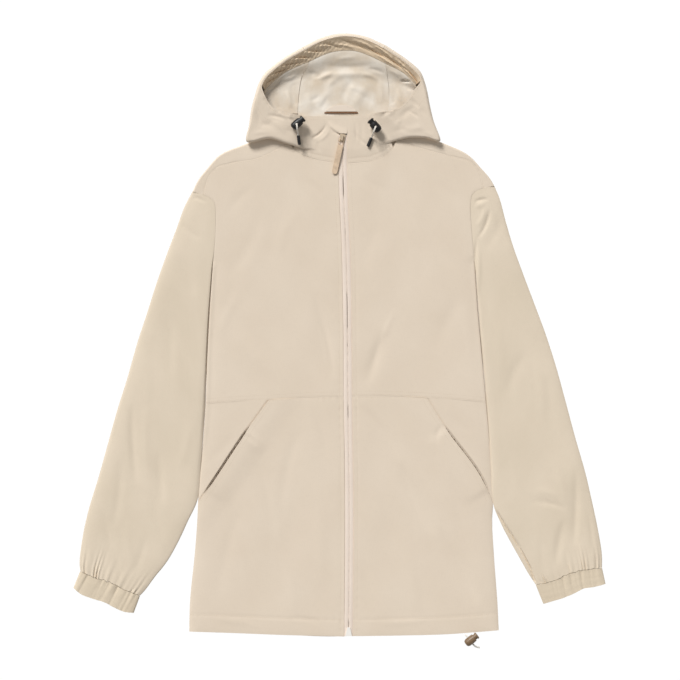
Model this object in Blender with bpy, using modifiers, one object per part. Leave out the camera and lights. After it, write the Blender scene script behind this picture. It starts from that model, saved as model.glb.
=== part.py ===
"""A hooded shell jacket laid flat on its back, face up, hem towards -Y.

Every cloth piece is a sheet through named edges, given a wall by a Solidify
modifier. Plans are in millimetres, as seen from above, with left and right as
seen. The fronts lie on the back, the sleeves beside it, and the hood is an open
bag whose brim stands over its own floor. Metres in the scene, +Z up.
"""

import math

import bmesh
import bpy
import numpy as np
from mathutils import Matrix, Vector

OBJECT_NAME = "shell_jacket"
MM = 0.001

# Walls and gaps, mm
WALL = 1.2
TAPE_WALL = 1.0
GAP = 0.3
SEAM = 0.4

# Heights of the outer faces above the surface that the jacket lies on, mm
SIDE_TOP = 2 * WALL + GAP
HEM_TOP = 4.3
CROWN_TOP = 4.8
COLLAR_TOP = 6.2
EDGE_ROUND = 24.0
HEM_ROUND = 30.0
POCKET_UNDERLAP = 12.0
POCKET_BLEND = 34.0
POCKET_LIFT = 1.9
ZIP_HALF = 7.0
TAPE_HALF = 13.0
TAPE_BELOW = 0.6
TAPE_TOP = 311.0

# Plan edges of the body, columns x, y. Sides run up, the others from the side inwards.
SIDE_LEFT = ((-233, -459), (-232, -416), (-224, -336), (-219.5, -272), (-219, -258), (-211, -162),
             (-207, -106), (-205, -38), (-201, 40), (-196, 114))
SIDE_RIGHT = ((247, -457), (245, -416), (239, -336), (236.5, -282), (238, -260), (232, -162), (227, -104),
              (221, -38), (214, 40), (209, 114))
ARMHOLE_LEFT = ((-196, 114), (-195.3, 120), (-194, 134), (-192.6, 158), (-192, 185), (-193, 203), (-197, 210),
                (-203, 214.5), (-210, 218), (-219, 221), (-228, 223))
ARMHOLE_RIGHT = ((209, 114), (208.3, 121), (206.8, 138), (204.8, 162), (203, 190), (203.2, 208), (206, 219),
                 (213, 225), (223, 228.5), (231, 230.5), (240, 232))
YOKE_ROW = 8
SHOULDER_LEFT = ((-228, 223), (-219, 241), (-204, 260), (-188, 278), (-148, 296), (-120, 307), (-83, 317))
SHOULDER_RIGHT = ((240, 232), (235, 241), (219, 260), (202, 278), (164, 297), (133, 308), (95, 317))
BACK_NECK = ((-83, 317), (-74, 331), (-57, 338), (5, 340.5), (71, 339), (88, 331), (95, 317))
YOKE_LEFT = ((-210, 218), (-208, 232), (-202, 249), (-189, 262), (-162, 269), (-128, 275), (-105, 285),
             (-78, 301))
YOKE_RIGHT = ((223, 228.5), (221, 241), (215, 257), (204, 270), (171, 279), (137, 288), (111, 296),
              (89, 305))
NECK_LEFT = ((-78, 301), (-71, 289), (-57, 280), (-36, 273), (-2, 267))
NECK_RIGHT = ((89, 305), (83, 291), (69, 279), (47, 270), (12, 267))
ZIP_LINE = ((14, -467), (15, -255), (13, -100), (12, 40), (10, 133), (6, 226), (5, 267), (5, 341))
HEM_LEFT = ((-233, -459), (-170, -461), (-92, -464), (7, -466.6))
HEM_RIGHT = ((247, -457), (167, -463), (94, -465), (21, -466))
WAIST_LEFT = ((-207, -106), (-154, -102), (-110, -100), (-46, -96), (6, -95))
WAIST_RIGHT = ((227, -104), (187, -100), (136, -97), (78, -94), (20, -94))
SLANT_LEFT = ((-110, -100), (-147, -151), (-203, -235), (-219, -258))
SLANT_RIGHT = ((136, -97), (157.5, -132), (227, -232), (238, -260))

# Largest folds of the fronts: a soft line between two ends, its width and height, mm
BODY_FOLDS = (
    # x0, y0, x1, y1, width, height
    (-40, 70, -9, -72, 14, -0.9),
    (72, 5, 38, -78, 15, -0.9),
    (30, -100, 150, -305, 16, -0.8),
    (150, -305, 213, -416, 16, -0.7),
    (-150, -200, -120, -400, 26, 0.6),
    (-110, 230, -150, 60, 30, 0.6),
    (120, 220, 165, 20, 30, 0.6),
    (-60, -140, -85, -380, 22, -0.5),
)

# Sleeves: matching points of the outer and inner edge down the arm, and the thickness there
SLEEVE_LEFT = (
    # outer x, y, inner x, y, thickness
    (-241, 198, -198.5, 94, 5.2),
    (-253, 165, -200.5, 63, 5.4),
    (-267, 128, -203, 24, 5.8),
    (-283, 83, -205, -22, 6.0),
    (-298, 36, -207, -69, 6.0),
    (-314, -13, -208.5, -112, 5.9),
    (-329, -66, -212, -159, 5.8),
    (-345, -117, -215.5, -205, 5.8),
    (-360, -171, -220, -254, 5.8),
    (-374, -221, -235, -288, 5.8),
    (-387, -263, -250, -320, 5.8),
    (-396, -300, -267, -350, 5.8),
    (-401, -331, -286, -374, 5.8),
    (-403, -351, -300, -393, 5.8),
    (-402, -365, -309, -403, 5.6),
)
SLEEVE_RIGHT = (
    # outer x, y, inner x, y, thickness
    (249, 210, 211.5, 94, 5.2),
    (258, 176, 213.5, 63, 5.4),
    (270, 136, 216.5, 24, 5.8),
    (286, 92, 220.5, -22, 6.0),
    (303, 47, 225, -69, 6.0),
    (320, 1, 228.5, -112, 5.9),
    (336, -49, 232.5, -159, 5.8),
    (350, -100, 237, -205, 5.8),
    (365, -156, 240.5, -256, 5.8),
    (381, -212, 250, -291, 5.8),
    (391, -255, 264, -318, 5.8),
    (399, -292, 278, -343, 5.8),
    (405, -325, 291, -366, 5.8),
    (407, -343, 298, -377, 5.8),
    (407, -360, 304, -386, 5.6),
)
SLEEVE_FOLDS = (
    # x0, y0, x1, y1, width, height
    (-322, -110, -315, -228, 12, -0.7),
    (-283, -184, -276, -260, 12, -0.6),
    (-262, 120, -225, 60, 14, -0.5),
    (365, -213, 362, -325, 12, -0.7),
    (347, -290, 337, -353, 12, -0.6),
    (256, 185, 225, 130, 10, -0.6),
)
CUFF_LEFT_TOP = ((-402, -365), (-382, -374), (-356, -382), (-332, -394), (-309, -403))
CUFF_LEFT_END = ((-412.5, -391), (-402, -400), (-382, -408), (-363, -414), (-350, -421), (-334, -428),
                 (-319, -430))
CUFF_RIGHT_TOP = ((407, -360), (393, -361), (379, -363), (353, -370), (329, -381), (304, -386))
CUFF_RIGHT_END = ((412.5, -385), (393, -390), (379, -392), (365, -399), (343, -408), (329, -412), (316, -416))
CUFF_THICKNESS = 5.8
CUFF_PLEATS = 6
CUFF_PLEAT_HEIGHT = 0.55
CUFF_PLEAT_STEPS = 4
CUFF_TOP_ROUND = 10.0
CUFF_PLEATS_FROM = 8.0
SLEEVE_TOP_ROUND = 22.0
SLEEVE_BOTTOM_ROUND = 5.0

# Hood sides: the seam on the floor, the outer fold and the edge of the face opening
HOOD_LEFT = (
    # seam x, y, z, fold x, y, z, edge x, y, z
    (-43, 292, 7.7, -36, 286, 7.7, -52, 339, 11.4),
    (-57, 300, 7.7, -55, 289, 7.7, -61, 341, 13.8),
    (-66, 308, 7.4, -83, 297, 7.6, -75, 343, 16.0),
    (-74, 317, 5.6, -109, 304, 7.2, -91, 346, 17.5),
    (-67, 328, 3.2, -143, 299, 6.8, -102, 351, 18.5),
    (-59, 343, 0.0, -140, 326, 1.0, -109, 359, 19.5),
    (-57.2, 353, 0.0, -136, 353, 0.0, -114, 368, 20.5),
    (-57.2, 368, 0.0, -131, 371, 0.0, -118, 377, 21.0),
    (-57.2, 384, 0.0, -125, 390, 0.0, -119, 387, 21.5),
    (-57.2, 402, 0.0, -113, 408, 0.0, -108, 403, 22.0),
    (-57.2, 418, 0.0, -86, 429, 0.0, -83, 423, 22.0),
    (-57.2, 432, 0.0, -57.2, 446, 0.0, -54.2, 440, 22.0),
)
HOOD_CENTRE = (
    # neck x, y, z, fold x, y, z, edge x, y, z
    (-56.8, 343, 0.0, -56.8, 446, 0.0, -53.8, 440, 22.0),
    (-26, 343, 0.0, -26, 461, 0.0, -24, 455, 22.0),
    (7, 343, 0.0, 7, 467, 0.0, 7, 461, 22.0),
    (41, 343, 0.0, 41, 462, 0.0, 40, 456, 22.0),
    (70.8, 343, 0.0, 70.8, 449, 0.0, 67.8, 443, 22.0),
)
HOOD_RIGHT = (
    # seam x, y, z, fold x, y, z, edge x, y, z
    (71.2, 432, 0.0, 71.2, 449, 0.0, 68.2, 443, 22.0),
    (71.2, 418, 0.0, 100, 430, 0.0, 97, 424, 22.0),
    (71.2, 402, 0.0, 122, 412, 0.0, 118, 406, 22.0),
    (71.2, 384, 0.0, 130, 398, 0.0, 125, 393, 21.5),
    (71.2, 368, 0.0, 136, 377, 0.0, 117, 381, 21.0),
    (71.2, 353, 0.0, 140, 356, 0.0, 108, 367, 20.5),
    (73, 343, 0.0, 146, 331, 1.0, 98, 356, 19.5),
    (81, 328, 3.2, 156, 301, 6.8, 89, 350, 18.5),
    (88, 317, 5.6, 137, 305, 7.2, 78, 347, 17.5),
    (80, 308, 7.4, 111, 306, 7.6, 69, 346, 16.0),
    (71, 300, 7.7, 86, 301, 7.7, 58, 345, 13.8),
    (60, 294, 7.7, 63, 294, 7.7, 47, 343, 11.4),
)
HOOD_FOLD_RADIUS = 9.0
FOLD_IN_FLAP = 0.9
FOLD_IN_FLOOR = 0.8
FACING_INNER = ((-116, 380), (-84, 407), (-47, 424), (-10, 439), (19, 441), (71, 421), (102, 404),
                (118, 388))
FACING_INNER_TOP = 11.0
LINING_TOP = 3.4
LINING_RISE_FROM = 0.66
LINING_CLEAR = 0.7
LINING_SEAM_LEFT = ((-65, 344), (-63, 377), (-57, 405), (-47, 423))
LINING_SEAM_RIGHT = ((75, 344), (77, 377), (74, 404), (71, 420))
LINING_FOOT_LEFT = ((-119, 350), (-90, 345), (-65, 344))
LINING_FOOT_RIGHT = ((75, 344), (95, 346), (116, 352))
LINING_SIDE_LEFT = ((-119, 350), (-121, 364), (-116, 379))
LINING_SIDE_RIGHT = ((116, 352), (121, 370), (118, 387))
LINING_FOLDS = (
    # x0, y0, x1, y1, width, height
    (-40, 404, 60, 406, 7, 1.6),
    (-50, 392, -20, 412, 8, -0.8),
    (20, 352, 45, 392, 9, 0.9),
    (-30, 356, -12, 386, 9, 0.8),
)
FACING_FROM_ROW = 8
FACING_TO_ROW = 3
FACING_SET_IN = 1.7
FACING_GATHERS = 11
FACING_GATHER_HEIGHT = 0.8
FACING_SAG = 1.5

# Collar stands, columns x, y
COLLAR_LEFT_TOP = ((-60, 340), (-30, 339.5), (11.6, 340))
COLLAR_LEFT_SIDE = ((-71, 289), (-69, 312), (-60, 340))
COLLAR_LEFT_ZIP = ((-2, 267.4), (-2, 276), (-2, 285), (-2, 294), (-2, 302), (-2, 309), (-0.2, 314.4),
                   (11, 314.2), (11.6, 322), (11.6, 331), (11.6, 340))
COLLAR_RIGHT_TOP = ((52, 341), (30, 340.5), (12, 340))
COLLAR_RIGHT_SIDE = ((83, 291), (74, 315), (52, 341))
COLLAR_RIGHT_ZIP = ((12, 267.4), (12, 276), (12, 285), (12, 294), (12, 302), (12, 309), (12, 314.5),
                    (12, 318), (12, 325), (12, 332), (12, 340))
TURNED_CORNER = ((-24, 331), (-17, 325), (-8, 318), (2, 312))
TURNED_DROP = 1.3
TURNED_WIDTH = 4.0

# Hanger loop and the half-moon patch above it
LOOP_ENDS_X = (-23.5, 28.5)
LOOP_Y = 345.2
LOOP_BOW = 1.2
LOOP_SECTION = (2.6, 1.2)
PATCH_ARCH = ((-21, 349.0), (-9, 355.5), (4, 357.5), (17, 355.5), (26, 349.0))

# Zip hardware, mm
SLIDER_CENTRE = (4.2, 306.0)
SLIDER_SIZE = (9.0, 12.0, 2.6)
BRIDGE_LENGTH = 8.4
BRIDGE_WIDTH = 3.0
BRIDGE_RISE = 3.4
BRIDGE_BAR = 1.0
PULL_TOWARDS = (-9.0, 247.0)
PULL_WIRE = 1.2
PULL_RING_INSIDE = (5.0, 9.0)
PULL_TAB = (8.4, 46.0, 2.2)
PULL_TILT_DEG = 2.4
PULL_END_STEPS = 9
PULL_NECK = 0.4
PULL_SHOULDER = 2.0
WIRE_BEND = 0.8
ZIP_BOX_CENTRE = (14.2, -459.0)
ZIP_BOX_SIZE = (10.5, 13.6, 2.6)
ZIP_BOX_TAPER = 0.4

# Cord locks, mm: profiles of radius and height, top to bottom, and the hole for the cord across them
LOCK_PROFILE = ((0, -7.0), (4.9, -7.0), (4.9, 8.0), (5.9, 8.0), (6.4, 5.0), (6.6, 0.0), (6.3, -5.0),
                (5.2, -7.6), (3.2, -8.8), (0, -9.0))
BUTTON_PROFILE = ((0, 14.0), (4.6, 14.0), (5.6, 13.2), (5.6, 11.4), (4.5, 11.4), (4.5, -3.6), (0, -3.6))
LOCK_RADIUS = 6.6
LOCK_HOLE = 4.4
BUTTON_SLOT = (7.4, 4.2)
BUTTON_SLOT_CENTRE = 1.6
LOCK_SEGMENTS = 20
HOLE_SEGMENTS = 16
LOCKS = (
    # name, x, y, seat z, heading of the barrel in degrees, end x, y, z
    ("left", -66.0, 326.0, 15.6, 41.0, -62.0, 296.5, 17.2),
    ("right", 56.0, 322.0, 12.4, 131.0, 45.5, 296.5, 9.2),
)
CORD_DIAMETER = 2.5
CORD_STEPS = 23
DRAWCORD_ROUTE = (
    # out from the lock towards the cord's end, height above the lock's seat
    (0.0, 1.0), (0.0, 5.5), (0.0, 10.5), (0.5, 15.0), (2.4, 18.6), (6.0, 20.0), (9.3, 18.2), (10.9, 14.0),
    (11.7, 9.4), (13.2, 5.6), (15.4, 3.4), (18.2, 2.8), (21.6, 2.8),
)
CORD_FALLS_FROM = 9.0
CORD_FALLS_TO = 18.0
CORD_END_PROFILE = ((0, 14.5), (1.7, 14.5), (2.5, 13.5), (2.5, 1), (2.2, 0), (1.6, 0), (1.6, 8), (0, 8))
CORD_END_SEGMENTS = 14
CORD_END_OUT = 17.4
HEM_LOCK_CENTRE = (202.5, -472.5, 6.9)
HEM_LOCK_HEADING = 38.0
HEM_CORD_POINTS = ((195.2, -464.4, 3.4), (196.4, -465.3, 5.0), (198.2, -467.0, 6.6), (200.3, -469.7, 6.9),
                   (202.5, -472.5, 6.9), (204.7, -475.3, 6.9), (206.8, -478.0, 6.8), (209.4, -480.9, 5.2),
                   (213.0, -483.0, 2.8), (217.6, -484.0, 1.7))

# Looks: colour, roughness, metal
CLOTH = ((0.72, 0.62, 0.49), 0.85)
LINING = ((0.79, 0.73, 0.63), 0.6)
FACING = ((0.66, 0.56, 0.43), 0.85)
TAPE = ((0.75, 0.66, 0.54), 0.8)
PULL = ((0.62, 0.47, 0.37), 0.5)
METAL = ((0.62, 0.58, 0.52), 0.35, 0.8)
WHITE = ((0.86, 0.85, 0.82), 0.4)
BLACK = ((0.02, 0.02, 0.022), 0.4)
BROWN = ((0.23, 0.12, 0.07), 0.7)
CORD = ((0.85, 0.82, 0.76), 0.8)
TAN = ((0.45, 0.36, 0.26), 0.5)

# Grid spacing: fractions across the fronts and pockets, and how the shoulder turns over, as shares of
# its radius inwards and of its height
POCKET_ACROSS = (0, 0.05, 0.15, 0.3, 0.5, 0.75, 1)
FRONT_ACROSS = (0, 0.012, 0.04, 0.09, 0.17, 0.28, 0.40, 0.52, 0.64, 0.73, 0.82, 0.91, 1)
NECK_COLUMN = 8
SHOULDER_TURN = ((0.3, 0.15), (0, 0.5), (0.3, 0.85), (1, 1))
SOFT_STEPS = 9
MERGE = 0.00001
SHARP_DEG = 40.0


def along(rows, fractions):
    """Points at these fractions of the length of a smooth line through the rows."""
    rows = np.asarray(rows, float)
    chord = np.r_[0, np.cumsum(np.linalg.norm(np.diff(rows, axis=0), axis=1))]
    slopes = np.gradient(rows, chord, axis=0)
    t = np.linspace(0, 1, SOFT_STEPS)[:, None]
    pieces = []
    for i, step in enumerate(np.diff(chord)):
        pieces.append(
            (2 * t**3 - 3 * t**2 + 1) * rows[i]
            + (t**3 - 2 * t**2 + t) * step * slopes[i]
            + (3 * t**2 - 2 * t**3) * rows[i + 1]
            + (t**3 - t**2) * step * slopes[i + 1]
        )
    dense = np.vstack(pieces)
    length = np.r_[0, np.cumsum(np.linalg.norm(np.diff(dense, axis=0), axis=1))]
    at = np.asarray(fractions, float) * length[-1]
    return np.stack([np.interp(at, length, column) for column in dense.T], axis=1)


def between(rows, per_gap):
    """Table rows with smoothly blended rows put between them."""
    rows = np.asarray(rows, float)
    slopes = np.gradient(rows, axis=0)
    at = np.linspace(0, len(rows) - 1, (len(rows) - 1) * per_gap + 1)
    i = np.minimum(at.astype(int), len(rows) - 2)
    t = (at - i)[:, None]
    return (
        (2 * t**3 - 3 * t**2 + 1) * rows[i]
        + (t**3 - 2 * t**2 + t) * slopes[i]
        + (3 * t**2 - 2 * t**3) * rows[i + 1]
        + (t**3 - t**2) * slopes[i + 1]
    )


def even(count):
    return np.linspace(0, 1, count)


def joined(*lines):
    """Lines end to end, with each shared point kept once."""
    return np.vstack([lines[0]] + [line[1:] for line in lines[1:]])


def travelled(line):
    """How far along the line each of its points is, from 0 to 1."""
    length = np.r_[0, np.cumsum(np.linalg.norm(np.diff(line, axis=0), axis=1))]
    return length / length[-1]


def split(line, parts):
    """The same straight steps, each cut into this many."""
    line = np.asarray(line, float)
    at = np.linspace(0, len(line) - 1, (len(line) - 1) * parts + 1)
    return np.stack([np.interp(at, np.arange(len(line)), column) for column in line.T], axis=1)


def shifted(line, dx, dy):
    return np.asarray(line, float) + (dx, dy)


def patch(left, right, bottom, top, across, up):
    """A grid of plan points filling four edges, rows from bottom to top."""
    u = np.asarray(across, float)[None, :, None]
    v = np.asarray(up, float)[:, None, None]
    left = left + (bottom[0] - left[0]) * (1 - v[:, 0]) + (top[0] - left[-1]) * v[:, 0]
    right = right + (bottom[-1] - right[0]) * (1 - v[:, 0]) + (top[-1] - right[-1]) * v[:, 0]
    sides = (1 - u) * left[:, None] + u * right[:, None]
    ends = (1 - v) * bottom[None] + v * top[None]
    corners = (
        (1 - u) * (1 - v) * bottom[0]
        + u * (1 - v) * bottom[-1]
        + (1 - u) * v * top[0]
        + u * v * top[-1]
    )
    return sides + ends - corners


def rounding(distance, reach):
    """A quarter of a circle, from 0 at the edge to 1 where the reach ends."""
    return np.sqrt(1 - (1 - np.clip(distance / reach, 0, 1)) ** 2)


def ease(t):
    t = np.clip(t, 0, 1)
    return t * t * (3 - 2 * t)


def folds_at(x, y, folds):
    """Height that a table of soft folds adds at these places."""
    total = np.zeros(np.shape(x))
    for x0, y0, x1, y1, width, height in folds:
        run = math.hypot(x1 - x0, y1 - y0)
        cos, sin = (x1 - x0) / run, (y1 - y0) / run
        share = ((x - x0) * cos + (y - y0) * sin) / run
        aside = (y - y0) * cos - (x - x0) * sin
        total += height * np.clip(1 - (2 * share - 1) ** 2, 0, 1) * np.exp(-2 * (aside / width) ** 2)
    return total


def body_top(x, y):
    """Height of the fronts: low at the sides, a little higher at the hem, level inside."""
    left = np.interp(y, *np.transpose(SIDE_LEFT)[::-1])
    right = np.interp(y, *np.transpose(SIDE_RIGHT)[::-1])
    hem = np.interp(x, *np.transpose(HEM_LEFT + HEM_RIGHT[::-1]))
    underarm = SIDE_LEFT[-1][1]
    inset = np.minimum(x - left, right - x) + np.maximum(y - underarm, 0)
    side = SIDE_TOP + (CROWN_TOP - SIDE_TOP) * rounding(inset, EDGE_ROUND)
    foot = HEM_TOP + (CROWN_TOP - HEM_TOP) * rounding(y - hem, HEM_ROUND)
    return np.minimum(side, foot) + folds_at(x, y, BODY_FOLDS) * ease(inset / EDGE_ROUND)


def collar_top(x, y):
    foot = np.interp(x, *np.transpose(NECK_LEFT + NECK_RIGHT[::-1]))
    return CROWN_TOP + (COLLAR_TOP - CROWN_TOP) * ease((y - foot) / EDGE_ROUND)


def turned_corner(x, y):
    """How far the turned corner of the left stand lies below the rest."""
    crease = np.interp(x, *np.transpose(TURNED_CORNER))
    return TURNED_DROP * ease((y - crease) / TURNED_WIDTH) * ease((x - TURNED_CORNER[0][0]) / TURNED_WIDTH)


def with_height(plan, height):
    return np.dstack([plan, height])


def material(name, colour, roughness, metallic=0.0):
    made = bpy.data.materials.new(name)
    made.use_nodes = True
    shader = made.node_tree.nodes["Principled BSDF"]
    shader.inputs["Base Color"].default_value = (*colour, 1)
    shader.inputs["Roughness"].default_value = roughness
    shader.inputs["Metallic"].default_value = metallic
    made.diffuse_color = (*colour, 1)
    return made


def smooth(mesh):
    mesh.shade_smooth()
    mesh.set_sharp_from_angle(angle=math.radians(SHARP_DEG))


def put(name, points, faces, look):
    """Makes an object from points in millimetres and gives it its own material."""
    mesh = bpy.data.meshes.new(name)
    mesh.from_pydata((np.asarray(points, float) * MM).tolist(), [], faces)
    smooth(mesh)
    return object_of(name, mesh, look, PARTS)


def quads(rows, columns, closed):
    return [
        (
            i * columns + j,
            i * columns + (j + 1) % columns,
            (i + 1) * columns + (j + 1) % columns,
            (i + 1) * columns + j,
        )
        for i in range(rows - 1)
        for j in range(columns if closed else columns - 1)
    ]


def sheet(name, grid, look, wall=WALL, up_column=0, up=1, closed=False):
    """A cloth piece: an open grid, its stated column turned up or down, with a wall inwards."""
    rows, columns = grid.shape[:2]
    faces = quads(rows, columns, closed)
    points = grid.reshape(-1, 3)
    seen = 0.0
    for face in faces[up_column :: columns if closed else columns - 1]:
        a, b, c, _ = (points[k] for k in face)
        seen += np.cross(b - a, c - b)[2]
    if seen * up < 0:
        faces = [face[::-1] for face in faces]
    thicken(put(name, points, faces, look), wall)


def flat_tube(top_plan, top_height, bottom_height, edge_height):
    """Rings for a flattened tube: along its face, then back along its underside."""
    top = with_height(top_plan, top_height)
    under = with_height(top_plan, bottom_height)[:, ::-1]
    top[:, 0, 2] = top[:, -1, 2] = edge_height
    return np.concatenate([top, under[:, 1:-1]], axis=1)


def sleeve(name, table, armhole, cuff_line, shift, look):
    outer = np.vstack([shifted(armhole[:1], *shift), [row[:2] for row in table]])
    inner = np.vstack([shifted(armhole[-1:], *shift), [row[2:4] for row in table]])
    up = travelled(outer)
    cap = shifted(armhole, *shift)
    across = travelled(cap)
    plan = patch(outer, inner, cap, along(cuff_line, across), across, up)
    thick = np.r_[CROWN_TOP, [row[4] for row in table]][:, None]
    steps = np.linalg.norm(np.diff(plan, axis=1), axis=2)
    reach = np.concatenate([np.zeros((len(up), 1)), np.cumsum(steps, axis=1)], axis=1)
    edge = np.minimum(reach, reach[:, -1:] - reach)
    x, y = plan[..., 0], plan[..., 1]
    top = thick / 2 * (1 + rounding(edge, SLEEVE_TOP_ROUND))
    top += folds_at(x, y, SLEEVE_FOLDS) * ease(edge / SLEEVE_TOP_ROUND)
    under = thick / 2 * (1 - rounding(edge, SLEEVE_BOTTOM_ROUND))
    rings = flat_tube(plan, top, under, thick[:, 0] / 2)
    sheet(name, rings, look, up_column=len(across) // 2, closed=True)


def cuff(name, top_line, end_line, shift, look):
    """An elastic cuff: a flattened tube whose face stands in pleats."""
    across = even(CUFF_PLEATS * CUFF_PLEAT_STEPS + 1)
    up = np.array((0, 0.2, 0.5, 0.8, 1))
    start = along(shifted(top_line, *shift), across)
    end = along(end_line, across)
    plan = patch(
        (1 - up[:, None]) * start[0] + up[:, None] * end[0],
        (1 - up[:, None]) * start[-1] + up[:, None] * end[-1],
        start, end, across, up,
    )
    width = np.linalg.norm(plan[:, -1] - plan[:, 0], axis=1)[:, None]
    edge = np.minimum(across, 1 - across) * width
    pleats = np.sin(across * CUFF_PLEATS * 2 * math.pi) * CUFF_PLEAT_HEIGHT
    half = CUFF_THICKNESS / 2
    top = half * (1 + rounding(edge, CUFF_TOP_ROUND)) + pleats * ease(edge / CUFF_PLEATS_FROM)
    under = half * (1 - rounding(edge, SLEEVE_BOTTOM_ROUND))
    rings = flat_tube(plan, top, under, np.full(len(up), half))
    face = list(range(len(across)))
    underside = list(range(len(across) + CUFF_PLEAT_STEPS - 1, rings.shape[1], CUFF_PLEAT_STEPS))
    sheet(name, rings[:, face + underside], look, up_column=len(across) // 2, closed=True)


def hood_section(row):
    """A hood panel across: along the floor, round the outer fold and back to the brim."""
    seam, fold, edge = row[:3], row[3:6], row[6:9]
    out = (fold - seam)[:2] / np.linalg.norm((fold - seam)[:2])
    over = (fold - edge)[:2] / np.linalg.norm((fold - edge)[:2])
    radius = min(HOOD_FOLD_RADIUS, FOLD_IN_FLAP * np.linalg.norm((fold - edge)[:2]),
                 FOLD_IN_FLOOR * np.linalg.norm((fold - seam)[:2]))
    low, high = fold[2], edge[2]
    middle, half = (low + high) / 2, (high - low) / 2
    base = np.r_[fold[:2] - radius * out, low]
    crown = np.r_[fold[:2] - radius * over, high]
    slant = math.sqrt(0.5)
    return np.array((
        seam,
        (seam + base) / 2,
        base,
        np.r_[fold[:2] - radius * (1 - slant) * out, middle - half * slant],
        np.r_[fold[:2], middle],
        np.r_[fold[:2] - radius * (1 - slant) * over, middle + half * slant],
        crown,
        (crown + edge) / 2,
        edge,
    ))


def back(look):
    """The back: flat, with both shoulders carried over to the yoke seams in front."""
    radius = CROWN_TOP / 2
    n = NECK_COLUMN + 1
    shoulders = []
    for shoulder, yoke in ((SHOULDER_LEFT, YOKE_LEFT), (SHOULDER_RIGHT, YOKE_RIGHT)):
        steps = np.array(FRONT_ACROSS[:n]) / FRONT_ACROSS[NECK_COLUMN]
        edge = along(shoulder, steps)
        seam = shifted(along(yoke, steps), 0, SEAM / 2)
        inward = seam - edge
        inward /= np.linalg.norm(inward, axis=1)[:, None]
        shoulders.append((edge, inward, seam))
    (left, in_left, _), (right, in_right, _) = shoulders
    top = joined(left + radius * in_left, along(BACK_NECK, even(7)), (right + radius * in_right)[::-1])
    across = travelled(np.c_[top[:, 0], np.zeros(len(top))])
    side_left = np.vstack([along(SIDE_LEFT, even(9)), ARMHOLE_LEFT[1:-1], top[:1]])
    side_right = np.vstack([along(SIDE_RIGHT, even(9)), ARMHOLE_RIGHT[1:-1], top[-1:]])
    up = travelled(side_left)
    hem = along(HEM_LEFT + HEM_RIGHT[::-1], across)
    plan = patch(side_left, side_right, hem, top, across, up)
    columns = len(top)
    points = list(with_height(plan, np.zeros(plan.shape[:2])).reshape(-1, 3))
    faces = quads(len(up), columns, False)
    first = (len(up) - 1) * columns
    joins = (range(first, first + n), range(first + columns - 1, first + columns - 1 - n, -1))
    for (edge, inward, seam), join in zip(shoulders, joins):
        crown = edge + radius * inward
        rows = [np.c_[edge + inward * radius * share, np.full(n, CROWN_TOP * rise)]
                for share, rise in SHOULDER_TURN]
        rows += [np.c_[crown + (seam - crown) * share, np.full(n, CROWN_TOP)] for share in (0.5, 1)]
        before = list(join)
        step = 1 if before[1] > before[0] else -1
        for row in rows:
            now = list(range(len(points), len(points) + n))
            points += list(row)
            faces += [(before[i], before[i + 1], now[i + 1], now[i])[::step] for i in range(n - 1)]
            before = now
    thicken(put("back", points, [face[::-1] for face in faces], look), WALL)


def front_upper(side, edge, armhole, yoke, neck, waist, zip_side, look):
    """An upper front, from the waist seam to the neck and from its side edge to the zip."""
    across = np.array(FRONT_ACROSS)
    share = across[NECK_COLUMN]
    side_line = joined(along(edge[-4:], even(6)), np.array(armhole[: YOKE_ROW + 1], float))
    up = travelled(side_line)
    zip_line = [row for row in ZIP_LINE if -100 <= row[1] <= 267]
    centre = shifted(along(zip_line, up), zip_side * ZIP_HALF, 0)
    top = joined(along(yoke, across[: NECK_COLUMN + 1] / share), np.array(neck, float))
    plan = patch(side_line, centre, along(waist, across), top, across, up)
    plan[..., 1] += SEAM * (0.5 - up)[:, None]
    sheet("front_upper_" + side, with_height(plan, body_top(plan[..., 0], plan[..., 1])), look)


def inward_of(slant, zip_side):
    """The unit direction across a pocket's slant, towards the middle of the front."""
    run = np.subtract(slant[-1], slant[0])
    run = run / np.linalg.norm(run)
    return np.array((run[1], -run[0])) * zip_side


def front_lower(side, edge, slant, waist, hem, zip_side, look):
    """A lower front, its pocket edge cut on a slant and standing on the pocket's side piece."""
    across = np.array(FRONT_ACROSS)
    below = [row for row in edge[::-1] if row[1] <= slant[-1][1]]
    side_line = joined(along(slant, even(8)), along(below, even(9)))
    down = travelled(side_line)
    zip_line = [(x, max(y, hem[-1][1])) for x, y in ZIP_LINE if y <= -100][::-1]
    centre = shifted(along(zip_line, down), zip_side * ZIP_HALF, 0)
    plan = patch(side_line, centre, along(waist[2:], across), along(hem, across), across, down)
    plan[..., 1] -= SEAM / 2 * (1 - down)[:, None]
    inset = (plan - slant[0]) @ inward_of(slant, zip_side)
    lift = POCKET_LIFT * (1 - ease((inset - POCKET_UNDERLAP) / POCKET_BLEND))
    sheet("front_lower_" + side, with_height(plan, body_top(plan[..., 0], plan[..., 1]) + lift), look)


def pocket_side(side, edge, slant, waist, zip_side, look):
    """The piece seen beside a slanted pocket edge, which it passes under."""
    under = inward_of(slant, zip_side) * POCKET_UNDERLAP
    start = np.add(slant[0], (under[0], 0))
    end = np.add(slant[-1], under)
    foot = (edge[3][0], slant[-1][1] - POCKET_UNDERLAP)
    down = even(11)
    outer = [row for row in edge[::-1] if foot[1] < row[1] <= waist[0][1]] + [foot]
    inner = np.vstack([start, np.add(slant[1:-1], under), end])
    plan = patch(
        along(outer, down), along(inner, down), along(np.vstack([waist[:3], start]), POCKET_ACROSS),
        along((foot, end), POCKET_ACROSS), POCKET_ACROSS, down,
    )
    plan[..., 1] -= SEAM / 2 * (1 - down)[:, None]
    sheet("pocket_side_" + side, with_height(plan, body_top(plan[..., 0], plan[..., 1])), look)


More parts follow.
